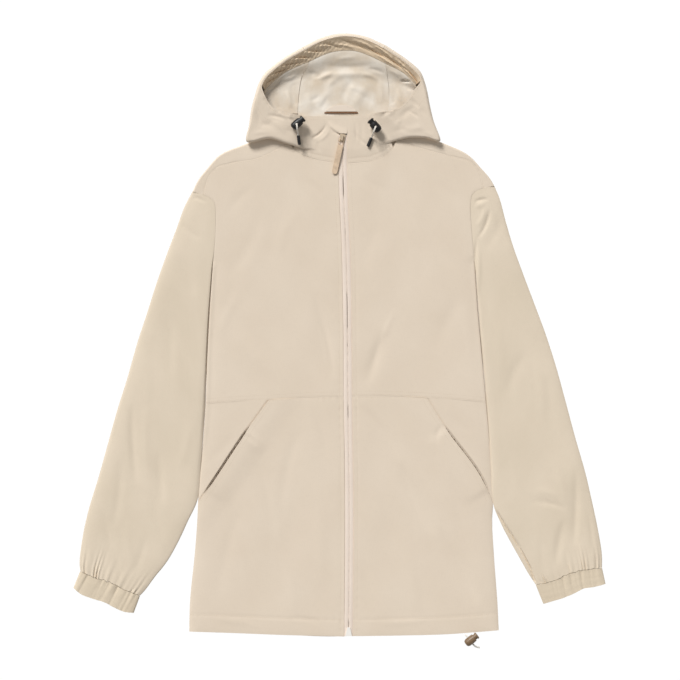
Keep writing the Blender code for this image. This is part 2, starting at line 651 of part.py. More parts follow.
def zip_tape(side, zip_side, look):
    neck_y = NECK_LEFT[-1][1]
    rows = np.array([row for row in ZIP_LINE if row[1] <= neck_y], float)
    rows[0, 1] += 1
    centre = joined(along(rows, even(20)), along((rows[-1], (ZIP_LINE[-1][0], TAPE_TOP)), even(9)))
    offsets = zip_side * np.array((TAPE_HALF, ZIP_HALF, SEAM / 2))
    plan = centre[:, None] + np.stack([offsets, np.zeros(3)], axis=1)[None]
    x, y = plan[..., 0], plan[..., 1]
    top = np.where(y > neck_y, collar_top(x, y), body_top(x, y)) - WALL - TAPE_BELOW
    sheet("zip_tape_" + side, with_height(plan, top), look, wall=TAPE_WALL)


def collar(side, neck, edge, zip_edge, top, look):
    """A front of the stand, from the neck seam up to its own top edge."""
    foot = shifted(split(neck[1:], 3), 0, SEAM)
    across, up = travelled(foot), even(len(zip_edge))
    plan = patch(along(edge, up), np.array(zip_edge, float), foot, along(top, across), across, up)
    x, y = plan[..., 0], plan[..., 1]
    height = collar_top(x, y)
    if side == "left":
        height = height - turned_corner(x, y)
    sheet("collar_" + side, with_height(plan, height), look)


def lining(name, left, right, foot, top, across, look):
    up = even(9)
    plan = patch(along(left, up), along(right, up), along(foot, across), along(top, across), across, up)
    rise = ease((up - LINING_RISE_FROM) / (1 - LINING_RISE_FROM))
    height = (LINING_TOP + (FACING_INNER_TOP - LINING_TOP) * rise)[:, None]
    folds = folds_at(plan[..., 0], plan[..., 1], LINING_FOLDS) * ease(4 * (1 - up))[:, None]
    sheet(name, with_height(plan, height + folds), look)


def facing(brim, look):
    """The band inside the brim, slanting down to the lining, with gathers along it."""
    at = even(FACING_GATHERS * 4 + 1)
    outer = along(brim, at)
    inner = np.c_[along(FACING_INNER, at), np.full(len(at), FACING_INNER_TOP)]
    across = (inner - outer)[:, :2]
    across /= np.linalg.norm(across, axis=1)[:, None]
    outer[:, :2] += across * FACING_SET_IN
    outer[:, 2] -= 2 * GAP
    waves = np.sin(at * FACING_GATHERS * 2 * math.pi) * FACING_GATHER_HEIGHT
    columns = []
    for share in (0, 0.3, 0.65, 1):
        column = outer + (inner - outer) * share
        column[:, 2] -= (1 - abs(2 * share - 1)) * FACING_SAG - waves * math.sin(math.pi * share)
        columns.append(column)
    sheet("hood_facing", np.stack(columns, axis=1), look)


def thicken(made, wall):
    solid = made.modifiers.new("wall", "SOLIDIFY")
    solid.thickness = wall * MM
    solid.offset = -1


def object_of(name, mesh, look, where):
    made = bpy.data.objects.new(name, mesh)
    where.objects.link(made)
    if look:
        mesh.materials.append(material(name, *look))
    return made


def block(name, size, centre, look, where):
    """A box of this size about a centre, both in local millimetres."""
    mesh = bpy.data.meshes.new(name)
    shape = bmesh.new()
    bmesh.ops.create_cube(shape, size=1)
    bmesh.ops.scale(shape, vec=Vector(size) * MM, verts=shape.verts)
    bmesh.ops.translate(shape, vec=Vector(centre) * MM, verts=shape.verts)
    shape.to_mesh(mesh)
    shape.free()
    return object_of(name, mesh, look, where)


def drill(name, radius, length):
    """A round cutter about local Y."""
    mesh = bpy.data.meshes.new(name)
    shape = bmesh.new()
    bmesh.ops.create_cone(shape, cap_ends=True, segments=HOLE_SEGMENTS, radius1=radius * MM,
                          radius2=radius * MM, depth=length * MM,
                          matrix=Matrix.Rotation(math.pi / 2, 4, "X"))
    shape.to_mesh(mesh)
    shape.free()
    return object_of(name, mesh, None, CUTTERS)


def turned(name, profile, segments, look):
    """A turned solid about local Z, from a profile of radius and height, top to bottom."""
    mesh = bpy.data.meshes.new(name)
    mesh.from_pydata([(radius * MM, 0, z * MM) for radius, z in profile],
                     [(i, i + 1) for i in range(len(profile) - 1)], [])
    made = bpy.data.objects.new(name, mesh)
    turn = made.modifiers.new("turn", "SCREW")
    turn.steps = turn.render_steps = segments
    turn.use_merge_vertices = True
    turn.merge_threshold = MERGE
    return as_mesh(made, look, PARTS)


def tube_curve(name, points, radius):
    """A round tube through points in millimetres, as a curve with filled ends."""
    curve = bpy.data.curves.new(name, "CURVE")
    curve.dimensions = "3D"
    curve.bevel_depth = radius * MM
    curve.bevel_resolution = 2
    curve.use_fill_caps = True
    line = curve.splines.new("POLY")
    line.points.add(len(points) - 1)
    for point, row in zip(line.points, points):
        point.co = (*(value * MM for value in row), 1)
    return curve


def as_mesh(made, look, where):
    """The same object as a plain mesh, its doubled points welded and its round sides smooth."""
    where.objects.link(made)
    bpy.context.view_layer.update()
    mesh = bpy.data.meshes.new_from_object(made.evaluated_get(bpy.context.evaluated_depsgraph_get()))
    shape = bmesh.new()
    shape.from_mesh(mesh)
    bmesh.ops.remove_doubles(shape, verts=shape.verts, dist=MERGE)
    shape.to_mesh(mesh)
    shape.free()
    smooth(mesh)
    mesh.materials.clear()
    name = made.name
    bpy.data.objects.remove(made)
    return object_of(name, mesh, look, where)


def boolean(made, operation, other):
    step = made.modifiers.new(other.name, "BOOLEAN")
    step.operation = operation
    step.solver = "EXACT"
    step.object = other


def place(objects, where):
    for made in objects:
        made.matrix_world = where


def frame_at(centre, y_axis, z_axis):
    """A turn and a move in metres, from the directions of local Y and Z. Z is kept, Y squared to it."""
    z_axis = Vector(z_axis).normalized()
    y_axis = Vector(y_axis)
    y_axis = (y_axis - z_axis * y_axis.dot(z_axis)).normalized()
    x_axis = y_axis.cross(z_axis)
    turn = Matrix((x_axis, y_axis, z_axis)).transposed().to_4x4()
    return Matrix.Translation(Vector(centre) * MM) @ turn


def cord_lock(name, centre, heading, hole_axis, look):
    """A spring cord lock about local Z: a barrel and its button, both pierced for the cord."""
    barrel = turned("cord_lock_" + name, LOCK_PROFILE, LOCK_SEGMENTS, look)
    button = turned("lock_button_" + name, BUTTON_PROFILE, LOCK_SEGMENTS, look)
    hole = drill("hole_" + name, LOCK_HOLE / 2, 4 * LOCK_RADIUS)
    slot = block("slot_" + name, (BUTTON_SLOT[1], 4 * LOCK_RADIUS, BUTTON_SLOT[0]),
                 (0, 0, BUTTON_SLOT_CENTRE), None, CUTTERS)
    boolean(barrel, "DIFFERENCE", hole)
    boolean(button, "DIFFERENCE", slot)
    turn = math.radians(heading)
    place((barrel, button, hole, slot), frame_at(centre, hole_axis, (math.cos(turn), math.sin(turn), 0)))


def cord(name, points, look):
    curve = tube_curve(name, points, CORD_DIAMETER / 2)
    curve.materials.append(material(name, *look))
    PARTS.objects.link(bpy.data.objects.new(name, curve))


def cord_route(x, y, seat, end_x, end_y, end_z):
    """The cord's points, and the direction in which its end lies."""
    way = np.array((end_x - x, end_y - y))
    way = way / np.linalg.norm(way)
    out, up = along(DRAWCORD_ROUTE, even(CORD_STEPS)).T
    fall = end_z - seat - DRAWCORD_ROUTE[-1][1]
    up = seat + up + fall * ease((out - CORD_FALLS_FROM) / (CORD_FALLS_TO - CORD_FALLS_FROM))
    return np.c_[x + way[0] * out, y + way[1] * out, up], way


def drawcord(name, x, y, seat, end_x, end_y, end_z):
    """Up through the lock, over its top and down to the cord end that lies on the cloth."""
    route, way = cord_route(x, y, seat, end_x, end_y, end_z)
    cord("drawcord_" + name, route, CORD)
    made = turned("cord_end_" + name, CORD_END_PROFILE, CORD_END_SEGMENTS, BLACK)
    foot = (x + way[0] * CORD_END_OUT, y + way[1] * CORD_END_OUT, end_z)
    place((made,), frame_at(foot, (0, 0, 1), (*way, 0)))


def pull_way():
    """The plan direction in which the pull hangs from the slider."""
    way = np.subtract(PULL_TOWARDS, SLIDER_CENTRE)
    return way / np.linalg.norm(way)


def zip_slider():
    """The slider's body, with a bridge along local Y that the pull's wire passes under."""
    x, y = SLIDER_CENTRE
    base = float(collar_top(np.array(x), np.array(y))) - WALL - TAPE_BELOW + GAP
    deck = SLIDER_SIZE[2]
    under = BRIDGE_RISE - BRIDGE_BAR
    body = block("zip_slider", SLIDER_SIZE, (0, 0, deck / 2), METAL, PARTS)
    rise = block("bridge", (BRIDGE_WIDTH, BRIDGE_LENGTH, BRIDGE_RISE + 1),
                 (0, 0, deck + (BRIDGE_RISE - 1) / 2), None, CUTTERS)
    slot = block("bridge_slot", (3 * BRIDGE_WIDTH, BRIDGE_LENGTH - 2 * BRIDGE_BAR, under),
                 (0, 0, deck + under / 2), None, CUTTERS)
    boolean(body, "UNION", rise)
    boolean(body, "DIFFERENCE", slot)
    place((body, rise, slot), frame_at((x, y, base), (*pull_way(), 0), (0, 0, 1)))
    return base + deck


def zip_pull(deck):
    """The pull: a wire ring under the bridge and a flat tab, tilted to rest on the front."""
    way = pull_way()
    reach = BRIDGE_LENGTH / 2 - BRIDGE_BAR - PULL_WIRE / 2 - GAP
    pivot = (*(np.array(SLIDER_CENTRE) + way * reach), deck + PULL_WIRE / 2 + 2 * GAP)
    half = (PULL_RING_INSIDE[0] + PULL_WIRE) / 2
    start = PULL_RING_INSIDE[1]
    wide, length, thick = PULL_TAB
    outline = [(half + PULL_NECK, start), (wide / 2, start + PULL_SHOULDER)]
    outline += [(wide / 2 * math.cos(a), start + length - wide / 2 * (1 - math.sin(a)))
                for a in np.linspace(0, math.pi, PULL_END_STEPS)]
    outline += [(-wide / 2, start + PULL_SHOULDER), (-half - PULL_NECK, start)]
    flat = bpy.data.curves.new("zip_pull", "CURVE")
    flat.dimensions = "2D"
    flat.fill_mode = "BOTH"
    flat.extrude = thick / 2 * MM
    edge = flat.splines.new("POLY")
    edge.points.add(len(outline) - 1)
    edge.use_cyclic_u = True
    for point, (x, y) in zip(edge.points, outline):
        point.co = (x * MM, y * MM, 0, 1)
    tab = as_mesh(bpy.data.objects.new("zip_pull", flat), PULL, PARTS)
    wire = ((half, start + PULL_SHOULDER, 0), (half, WIRE_BEND, 0), (half - WIRE_BEND, 0, 0),
            (WIRE_BEND - half, 0, 0), (-half, WIRE_BEND, 0), (-half, start + PULL_SHOULDER, 0))
    ring = as_mesh(bpy.data.objects.new("ring", tube_curve("ring", wire, PULL_WIRE / 2)), None, CUTTERS)
    boolean(tab, "UNION", ring)
    tilt = math.radians(PULL_TILT_DEG)
    run = (way[0] * math.cos(tilt), way[1] * math.cos(tilt), -math.sin(tilt))
    place((tab, ring), frame_at(pivot, run, np.cross((-run[1], run[0], 0), run) * -1))


def neck_pieces():
    """The half-moon patch on the lining and the hanger loop below it."""
    top = LINING_TOP + GAP + TAPE_WALL
    across = even(9)
    foot = along(((PATCH_ARCH[0][0], LOOP_Y + 2), (PATCH_ARCH[-1][0], LOOP_Y + 2)), across)
    arch = along(PATCH_ARCH, across)
    up = even(4)
    plan = patch(along((foot[0], arch[0]), up), along((foot[-1], arch[-1]), up), foot, arch, across, up)
    height = top + folds_at(plan[..., 0], plan[..., 1], LINING_FOLDS)
    sheet("neck_patch", with_height(plan, height), LINING, wall=TAPE_WALL)
    x = np.linspace(*LOOP_ENDS_X, 13)
    share = np.linspace(-1, 1, 13)
    rise = top + LOOP_BOW * (1 - share**2)
    rows = [np.c_[x, np.full(13, LOOP_Y + side * LOOP_SECTION[0] / 2), rise] for side in (-1, 1)]
    sheet("hanger_loop", np.stack(rows, axis=1), BROWN, wall=LOOP_SECTION[1])


def hood():
    """The hood: two sides and a centre, their lining inside, and the facing round the brim."""
    sides = {}
    for name, table, per_gap in (("hood_side_left", HOOD_LEFT, 2), ("hood_centre", HOOD_CENTRE, 3),
                                 ("hood_side_right", HOOD_RIGHT, 2)):
        rows = between(table, per_gap)
        rows[:, [2, 5]] = np.maximum(rows[:, [2, 5]], 0)
        sides[name] = rows
        sheet(name, np.stack([hood_section(row) for row in rows]), CLOTH, up_column=0, up=-1)
    brim = joined(
        sides["hood_side_left"][2 * FACING_FROM_ROW:, 6:9],
        sides["hood_centre"][:, 6:9],
        sides["hood_side_right"][: 2 * FACING_TO_ROW + 1, 6:9],
    )
    facing(brim, FACING)
    inner = along(FACING_INNER, even(41))
    inner[:, 1] -= LINING_CLEAR
    seam_left, seam_right = np.array(LINING_SEAM_LEFT, float), np.array(LINING_SEAM_RIGHT, float)
    left_part = inner[inner[:, 0] < seam_left[-1, 0]]
    right_part = inner[inner[:, 0] > seam_right[-1, 0]]
    middle = inner[(inner[:, 0] > seam_left[-1, 0]) & (inner[:, 0] < seam_right[-1, 0])]
    half = (SEAM / 2, 0)
    lining("hood_lining_centre", seam_left + half, seam_right - half,
           (seam_left[0] + half, seam_right[0] - half),
           np.vstack([seam_left[-1] + half, middle, seam_right[-1] - half]), even(15), LINING)
    lining("hood_lining_left", LINING_SIDE_LEFT, seam_left - half,
           np.vstack([LINING_FOOT_LEFT[:-1], seam_left[0] - half]),
           np.vstack([LINING_SIDE_LEFT[-1], left_part[1:], seam_left[-1] - half]), even(8), LINING)
    lining("hood_lining_right", seam_right + half, LINING_SIDE_RIGHT,
           np.vstack([seam_right[0] + half, LINING_FOOT_RIGHT[1:]]),
           np.vstack([seam_right[-1] + half, right_part[:-1], LINING_SIDE_RIGHT[-1]]), even(8), LINING)


for leftover in list(bpy.data.objects):
    bpy.data.objects.remove(leftover)
PARTS = bpy.data.collections.new(OBJECT_NAME)
CUTTERS = bpy.data.collections.new("cutters")
for collection in (PARTS, CUTTERS):
    bpy.context.scene.collection.children.link(collection)

back(CLOTH)
front_upper("left", SIDE_LEFT, ARMHOLE_LEFT, YOKE_LEFT, NECK_LEFT, WAIST_LEFT, -1, CLOTH)
front_upper("right", SIDE_RIGHT, ARMHOLE_RIGHT, YOKE_RIGHT, NECK_RIGHT, WAIST_RIGHT, 1, CLOTH)
front_lower("left", SIDE_LEFT, SLANT_LEFT, WAIST_LEFT, HEM_LEFT, -1, CLOTH)
front_lower("right", SIDE_RIGHT, SLANT_RIGHT, WAIST_RIGHT, HEM_RIGHT, 1, CLOTH)
pocket_side("left", SIDE_LEFT, SLANT_LEFT, WAIST_LEFT, -1, CLOTH)
pocket_side("right", SIDE_RIGHT, SLANT_RIGHT, WAIST_RIGHT, 1, CLOTH)
sleeve("sleeve_left", SLEEVE_LEFT, ARMHOLE_LEFT[::-1], CUFF_LEFT_TOP, (-0.6, -0.4), CLOTH)
sleeve("sleeve_right", SLEEVE_RIGHT, ARMHOLE_RIGHT[::-1], CUFF_RIGHT_TOP, (0.6, -0.4), CLOTH)
cuff("cuff_left", CUFF_LEFT_TOP, CUFF_LEFT_END, (-0.2, -0.6), CLOTH)
cuff("cuff_right", CUFF_RIGHT_TOP, CUFF_RIGHT_END, (0.2, -0.6), CLOTH)
hood()
collar("left", NECK_LEFT, COLLAR_LEFT_SIDE, COLLAR_LEFT_ZIP, COLLAR_LEFT_TOP, CLOTH)
collar("right", NECK_RIGHT, COLLAR_RIGHT_SIDE, COLLAR_RIGHT_ZIP, COLLAR_RIGHT_TOP, CLOTH)
neck_pieces()
zip_tape("left", -1, TAPE)
zip_tape("right", 1, TAPE)
zip_pull(zip_slider())
box_x, box_y = ZIP_BOX_CENTRE
box_base = float(body_top(np.array(box_x), np.array(box_y))) - WALL
box = block("zip_box", ZIP_BOX_SIZE, (box_x, box_y, box_base + ZIP_BOX_SIZE[2] / 2), WHITE, PARTS)
for corner in box.data.vertices:
    if corner.co.y > box_y * MM:
        corner.co.x = (box_x + (corner.co.x / MM - box_x) * ZIP_BOX_TAPER) * MM
for name, x, y, seat, heading, *end in LOCKS:
    cord_lock(name, (x, y, seat + GAP + LOCK_RADIUS), heading, (0, 0, 1), BLACK)
    drawcord(name, x, y, seat, *end)
before_lock, after_lock = HEM_CORD_POINTS[3], HEM_CORD_POINTS[5]
cord_lock("hem", HEM_LOCK_CENTRE, HEM_LOCK_HEADING, np.subtract(after_lock, before_lock), TAN)
cord("hem_cord", HEM_CORD_POINTS, CORD)
for cutter in CUTTERS.objects:
    cutter.hide_render = True
    cutter.display_type = "WIRE"
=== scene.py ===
"""The looks of a hooded shell jacket that lies flat on its back, face up, hem towards -Y.

Each cloth piece is a thin shell on the form of its solid, drawn through the same
named edges at a finer spacing, with creases, gathers and seam puckers.
Plans are in millimetres as seen from above, left and right as seen. Metres in the scene.
"""

import math

import bpy
import mathutils
import numpy as np
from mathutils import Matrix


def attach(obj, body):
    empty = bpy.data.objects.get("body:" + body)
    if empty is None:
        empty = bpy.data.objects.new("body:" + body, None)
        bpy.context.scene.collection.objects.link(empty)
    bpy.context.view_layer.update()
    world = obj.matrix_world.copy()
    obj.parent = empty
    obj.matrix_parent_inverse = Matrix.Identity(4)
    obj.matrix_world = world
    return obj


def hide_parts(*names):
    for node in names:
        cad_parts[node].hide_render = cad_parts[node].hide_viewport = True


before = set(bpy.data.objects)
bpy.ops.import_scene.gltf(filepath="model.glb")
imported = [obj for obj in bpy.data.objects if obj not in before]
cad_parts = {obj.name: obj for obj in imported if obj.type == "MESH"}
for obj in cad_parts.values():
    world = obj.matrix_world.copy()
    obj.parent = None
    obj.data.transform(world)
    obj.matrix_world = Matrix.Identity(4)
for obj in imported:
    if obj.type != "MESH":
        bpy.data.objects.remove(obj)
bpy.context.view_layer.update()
MM = 0.001
BODY = "jacket"

# Walls and gaps, mm
WALL = 1.2
TAPE_WALL = 1.0
GAP = 0.3
SEAM = 0.16

# Heights of the outer faces above the surface that the jacket lies on, mm
SIDE_TOP = 2 * WALL + GAP
HEM_TOP = 4.3
CROWN_TOP = 4.8
COLLAR_TOP = 6.2
EDGE_ROUND = 24.0
HEM_ROUND = 30.0
POCKET_UNDERLAP = 12.0
POCKET_BLEND = 34.0
POCKET_LIFT = 1.9
MOUTH = (0.25, 0.93)
MOUTH_BOW = {"left": 1.2, "right": 0.9}
MOUTH_DEPTH = 2.2
MOUTH_ROLL = 2.4
SLANT_DIP = 0.9
ZIP_HALF = 7.0
TOOTH_PITCH = 1.9
TAPE_BELOW = 0.6
TAPE_ACROSS = (13.0, 9.6, 7.4, 6.5, 5.0, 2.6, 0.9)
TAPE_SWELL = (0, 0, 0.5, 1.1, 1.45, 1.6, 1.45, 1.25)
ZIP_GAPES = (
    # lower and upper end of a stretch where the halves part, and the half gap there, mm
    (8, 70, 0.42), (-20, -8, 0.3), (212, 250, 0.5), (-130, -104, 0.4), (-456, -440, 0.4), (150, 170, 0.25),
)
TAPE_TOP = 311.0

# Plan edges of the body, columns x, y. Sides run up, the others from the side inwards.
SIDE_LEFT = ((-233, -459), (-232, -416), (-224, -336), (-219.5, -272), (-219, -258), (-211, -162),
             (-207, -106), (-205, -38), (-201, 40), (-196, 114))
SIDE_RIGHT = ((247, -457), (245, -416), (239, -336), (236.5, -282), (238, -260), (232, -162), (227, -104),
              (221, -38), (214, 40), (209, 114))
ARMHOLE_LEFT = ((-196, 114), (-195.3, 120), (-194, 134), (-192.6, 158), (-192, 185), (-193, 203), (-197, 210),
                (-203, 214.5), (-210, 218), (-219, 221), (-228, 223))
ARMHOLE_RIGHT = ((209, 114), (208.3, 121), (206.8, 138), (204.8, 162), (203, 190), (203.2, 208), (206, 219),
                 (213, 225), (223, 228.5), (231, 230.5), (240, 232))
YOKE_ROW = 8
SHOULDER_LEFT = ((-228, 223), (-219, 241), (-204, 260), (-188, 278), (-148, 296), (-120, 307), (-83, 317))
SHOULDER_RIGHT = ((240, 232), (235, 241), (219, 260), (202, 278), (164, 297), (133, 308), (95, 317))
BACK_NECK = ((-83, 317), (-74, 331), (-57, 338), (5, 340.5), (71, 339), (88, 331), (95, 317))
YOKE_LEFT = ((-210, 218), (-208, 232), (-202, 249), (-189, 262), (-162, 269), (-128, 275), (-105, 285),
             (-78, 301))
YOKE_RIGHT = ((223, 228.5), (221, 241), (215, 257), (204, 270), (171, 279), (137, 288), (111, 296),
              (89, 305))
NECK_LEFT = ((-78, 301), (-71, 289), (-57, 280), (-36, 273), (-2, 267))
NECK_RIGHT = ((89, 305), (83, 291), (69, 279), (47, 270), (12, 267))
ZIP_LINE = ((14, -467), (15, -255), (13, -100), (12, 40), (10, 133), (6, 226), (5, 267), (5, 341))
HEM_LEFT = ((-233, -459), (-170, -461), (-92, -464), (7, -466.6))
HEM_RIGHT = ((247, -457), (167, -463), (94, -465), (21, -466))
WAIST_LEFT = ((-207, -106), (-154, -102), (-110, -100), (-46, -96), (6, -95))
WAIST_RIGHT = ((227, -104), (187, -100), (136, -97), (78, -94), (20, -94))
SLANT_LEFT = ((-110, -100), (-147, -151), (-203, -235), (-219, -258))
SLANT_RIGHT = ((136, -97), (157.5, -132), (227, -232), (238, -260))

# Largest folds of the fronts: a soft line between two ends, its width and height, mm
BODY_FOLDS = (
    # x0, y0, x1, y1, width, height
    (-40, 70, -9, -72, 14, -0.9),
    (72, 5, 38, -78, 15, -0.9),
    (30, -100, 150, -305, 16, -0.8),
    (150, -305, 213, -416, 16, -0.7),
    (-150, -200, -120, -400, 26, 0.6),
    (-110, 230, -150, 60, 30, 0.6),
    (120, 220, 165, 20, 30, 0.6),
    (-60, -140, -85, -380, 22, -0.5),
)

# Sleeves: matching points of the outer and inner edge down the arm, and the thickness there
SLEEVE_LEFT = (
    # outer x, y, inner x, y, thickness
    (-241, 198, -198.5, 94, 5.2),
    (-253, 165, -200.5, 63, 5.4),
    (-267, 128, -203, 24, 5.8),
    (-283, 83, -205, -22, 6.0),
    (-298, 36, -207, -69, 6.0),
    (-314, -13, -208.5, -112, 5.9),
    (-329, -66, -212, -159, 5.8),
    (-345, -117, -215.5, -205, 5.8),
    (-360, -171, -220, -254, 5.8),
    (-374, -221, -235, -288, 5.8),
    (-387, -263, -250, -320, 5.8),
    (-396, -300, -267, -350, 5.8),
    (-401, -331, -286, -374, 5.8),
    (-403, -351, -300, -393, 5.8),
    (-402, -365, -309, -403, 5.6),
)
SLEEVE_RIGHT = (
    # outer x, y, inner x, y, thickness
    (249, 210, 211.5, 94, 5.2),
    (258, 176, 213.5, 63, 5.4),
    (270, 136, 216.5, 24, 5.8),
    (286, 92, 220.5, -22, 6.0),
    (303, 47, 225, -69, 6.0),
    (320, 1, 228.5, -112, 5.9),
    (336, -49, 232.2, -159, 5.8),
    (350, -100, 235.4, -205, 5.8),
    (365, -156, 237.4, -257, 5.8),
    (381, -212, 250, -291, 5.8),
    (391, -255, 264, -318, 5.8),
    (399, -292, 278, -343, 5.8),
    (405, -325, 291, -366, 5.8),
    (407, -343, 298, -377, 5.8),
    (407, -360, 304, -386, 5.6),
)
SLEEVE_FOLDS = (
    # x0, y0, x1, y1, width, height
    (-322, -110, -315, -228, 12, -0.7),
    (-283, -184, -276, -260, 12, -0.6),
    (-262, 120, -225, 60, 14, -0.5),
    (365, -213, 362, -325, 12, -0.7),
    (347, -290, 337, -353, 12, -0.6),
    (256, 185, 225, 130, 10, -0.6),
)
CUFF_LEFT_TOP = ((-402, -365), (-382, -374), (-356, -382), (-332, -394), (-309, -403))
CUFF_LEFT_END = ((-412.5, -391), (-402, -400), (-382, -408), (-363, -414), (-350, -421), (-334, -428),
                 (-319, -430))
CUFF_RIGHT_TOP = ((407, -360), (393, -361), (379, -363), (353, -370), (329, -381), (304, -386))
CUFF_RIGHT_END = ((412.5, -385), (393, -390), (379, -392), (365, -399), (343, -408), (329, -412), (316, -416))
CUFF_THICKNESS = 5.8
CUFF_PLEATS = 6
CUFF_PLEAT_HEIGHT = 0.55
SLEEVE_TOP_ROUND = 22.0
SLEEVE_BOTTOM_ROUND = 5.0

# Hood sides: the seam on the floor, the outer fold and the edge of the face opening
HOOD_LEFT = (
    # seam x, y, z, fold x, y, z, edge x, y, z
    (-43, 292, 7.7, -36, 286, 7.7, -52, 339, 11.4),
    (-57, 300, 7.7, -55, 289, 7.7, -61, 341, 13.8),
    (-66, 308, 7.4, -83, 297, 7.6, -75, 343, 16.0),
    (-74, 317, 5.6, -109, 304, 7.2, -91, 346, 17.5),
    (-67, 328, 3.2, -143, 299, 6.8, -102, 351, 18.5),
    (-59, 343, 0.0, -140, 326, 1.0, -109, 359, 19.5),
    (-57.2, 353, 0.0, -136, 353, 0.0, -114, 368, 20.5),
    (-57.2, 368, 0.0, -131, 371, 0.0, -118, 377, 21.0),
    (-57.2, 384, 0.0, -125, 390, 0.0, -119, 387, 21.5),
    (-57.2, 402, 0.0, -113, 408, 0.0, -108, 403, 22.0),
    (-57.2, 418, 0.0, -86, 429, 0.0, -83, 423, 22.0),
    (-57.2, 432, 0.0, -57.2, 446, 0.0, -54.2, 440, 22.0),
)
HOOD_CENTRE = (
    # neck x, y, z, fold x, y, z, edge x, y, z
    (-56.8, 343, 0.0, -56.8, 446, 0.0, -53.8, 440, 22.0),
    (-26, 343, 0.0, -26, 461, 0.0, -24, 455, 22.0),
    (7, 343, 0.0, 7, 467, 0.0, 7, 461, 22.0),
    (41, 343, 0.0, 41, 462, 0.0, 40, 456, 22.0),
    (70.8, 343, 0.0, 70.8, 449, 0.0, 67.8, 443, 22.0),
)
HOOD_RIGHT = (
    # seam x, y, z, fold x, y, z, edge x, y, z
    (71.2, 432, 0.0, 71.2, 449, 0.0, 68.2, 443, 22.0),
    (71.2, 418, 0.0, 100, 430, 0.0, 97, 424, 22.0),
    (71.2, 402, 0.0, 122, 412, 0.0, 118, 406, 22.0),
    (71.2, 384, 0.0, 130, 398, 0.0, 125, 393, 21.5),
    (71.2, 368, 0.0, 136, 377, 0.0, 117, 381, 21.0),
    (71.2, 353, 0.0, 140, 356, 0.0, 108, 367, 20.5),
    (73, 343, 0.0, 146, 331, 1.0, 98, 356, 19.5),
    (81, 328, 3.2, 156, 301, 6.8, 89, 350, 18.5),
    (88, 317, 5.6, 137, 305, 7.2, 78, 347, 17.5),
    (80, 308, 7.4, 111, 306, 7.6, 69, 346, 16.0),
    (71, 300, 7.7, 86, 301, 7.7, 58, 345, 13.8),
    (60, 294, 7.7, 63, 294, 7.7, 47, 343, 11.4),
)
HOOD_FOLD_RADIUS = 5.5
FACING_INNER = ((-116, 380), (-84, 407), (-47, 424), (-10, 439), (19, 441), (71, 421), (102, 404),
                (118, 388))
FACING_INNER_TOP = 11.0
LINING_TOP = 3.4
LINING_RISE_FROM = 0.66
LINING_BELOW = 8.0
LINING_LOWEST = 2.6
LINING_GAIN = 1.4
LINING_SEAM_LEFT = ((-65, 344), (-63, 377), (-57, 405), (-47, 423))
LINING_SEAM_RIGHT = ((75, 344), (77, 377), (74, 404), (71, 420))
LINING_FOOT_LEFT = ((-119, 350), (-90, 345), (-65, 344))
LINING_FOOT_RIGHT = ((75, 344), (95, 346), (116, 352))
LINING_SIDE_LEFT = ((-119, 350), (-121, 364), (-116, 379))
LINING_SIDE_RIGHT = ((116, 352), (121, 370), (118, 387))
LINING_FOLDS = (
    # x0, y0, x1, y1, width, height
    (-40, 404, 60, 406, 7, 1.6),
    (-50, 392, -20, 412, 8, -0.8),
    (20, 352, 45, 392, 9, 0.9),
    (-30, 356, -12, 386, 9, 0.8),
)
FACING_FROM_ROW = 8
FACING_TO_ROW = 3
FACING_SET_IN = 0.6
FACING_WIDTH = 26.0
FACING_SAG = 1.5
FACING_COLUMNS = 321
FACING_ROWS = 15

# Collar stands, columns x, y
COLLAR_LEFT_TOP = ((-60, 340), (-30, 339.5), (11.95, 340))
COLLAR_LEFT_SIDE = ((-71, 289), (-69, 312), (-60, 340))
COLLAR_LEFT_ZIP = ((-2, 267.4), (-2, 276), (-2, 285), (-2, 294), (-2, 302), (-2, 309), (-0.2, 313.0),
                   (11.4, 312.8), (11.95, 322), (11.95, 331), (11.95, 340))
COLLAR_RIGHT_TOP = ((52, 341), (30, 340.5), (12, 340))
COLLAR_RIGHT_SIDE = ((83, 291), (74, 315), (52, 341))
COLLAR_RIGHT_ZIP = ((12, 267.4), (12, 276), (12, 285), (12, 294), (12, 302), (12, 309), (12, 314.5),
                    (12, 318), (12, 325), (12, 332), (12, 340))
TURNED_CORNER = ((-19, 330), (-14, 322.5), (-8.3, 316.5), (-1, 312.5), (7.6, 310))
TURNED_RISE = 1.8
TURNED_WIDTH = 1.2

# Hanger loop and the half-moon patch above it
LOOP_ENDS_X = (-23.5, 28.5)
LOOP_Y = 345.2
LOOP_BOW = 1.2
LOOP_WIDTH = 2.0
PATCH_ARCH = ((-21, 349.0), (-9, 355.5), (4, 357.5), (17, 355.5), (26, 349.0))

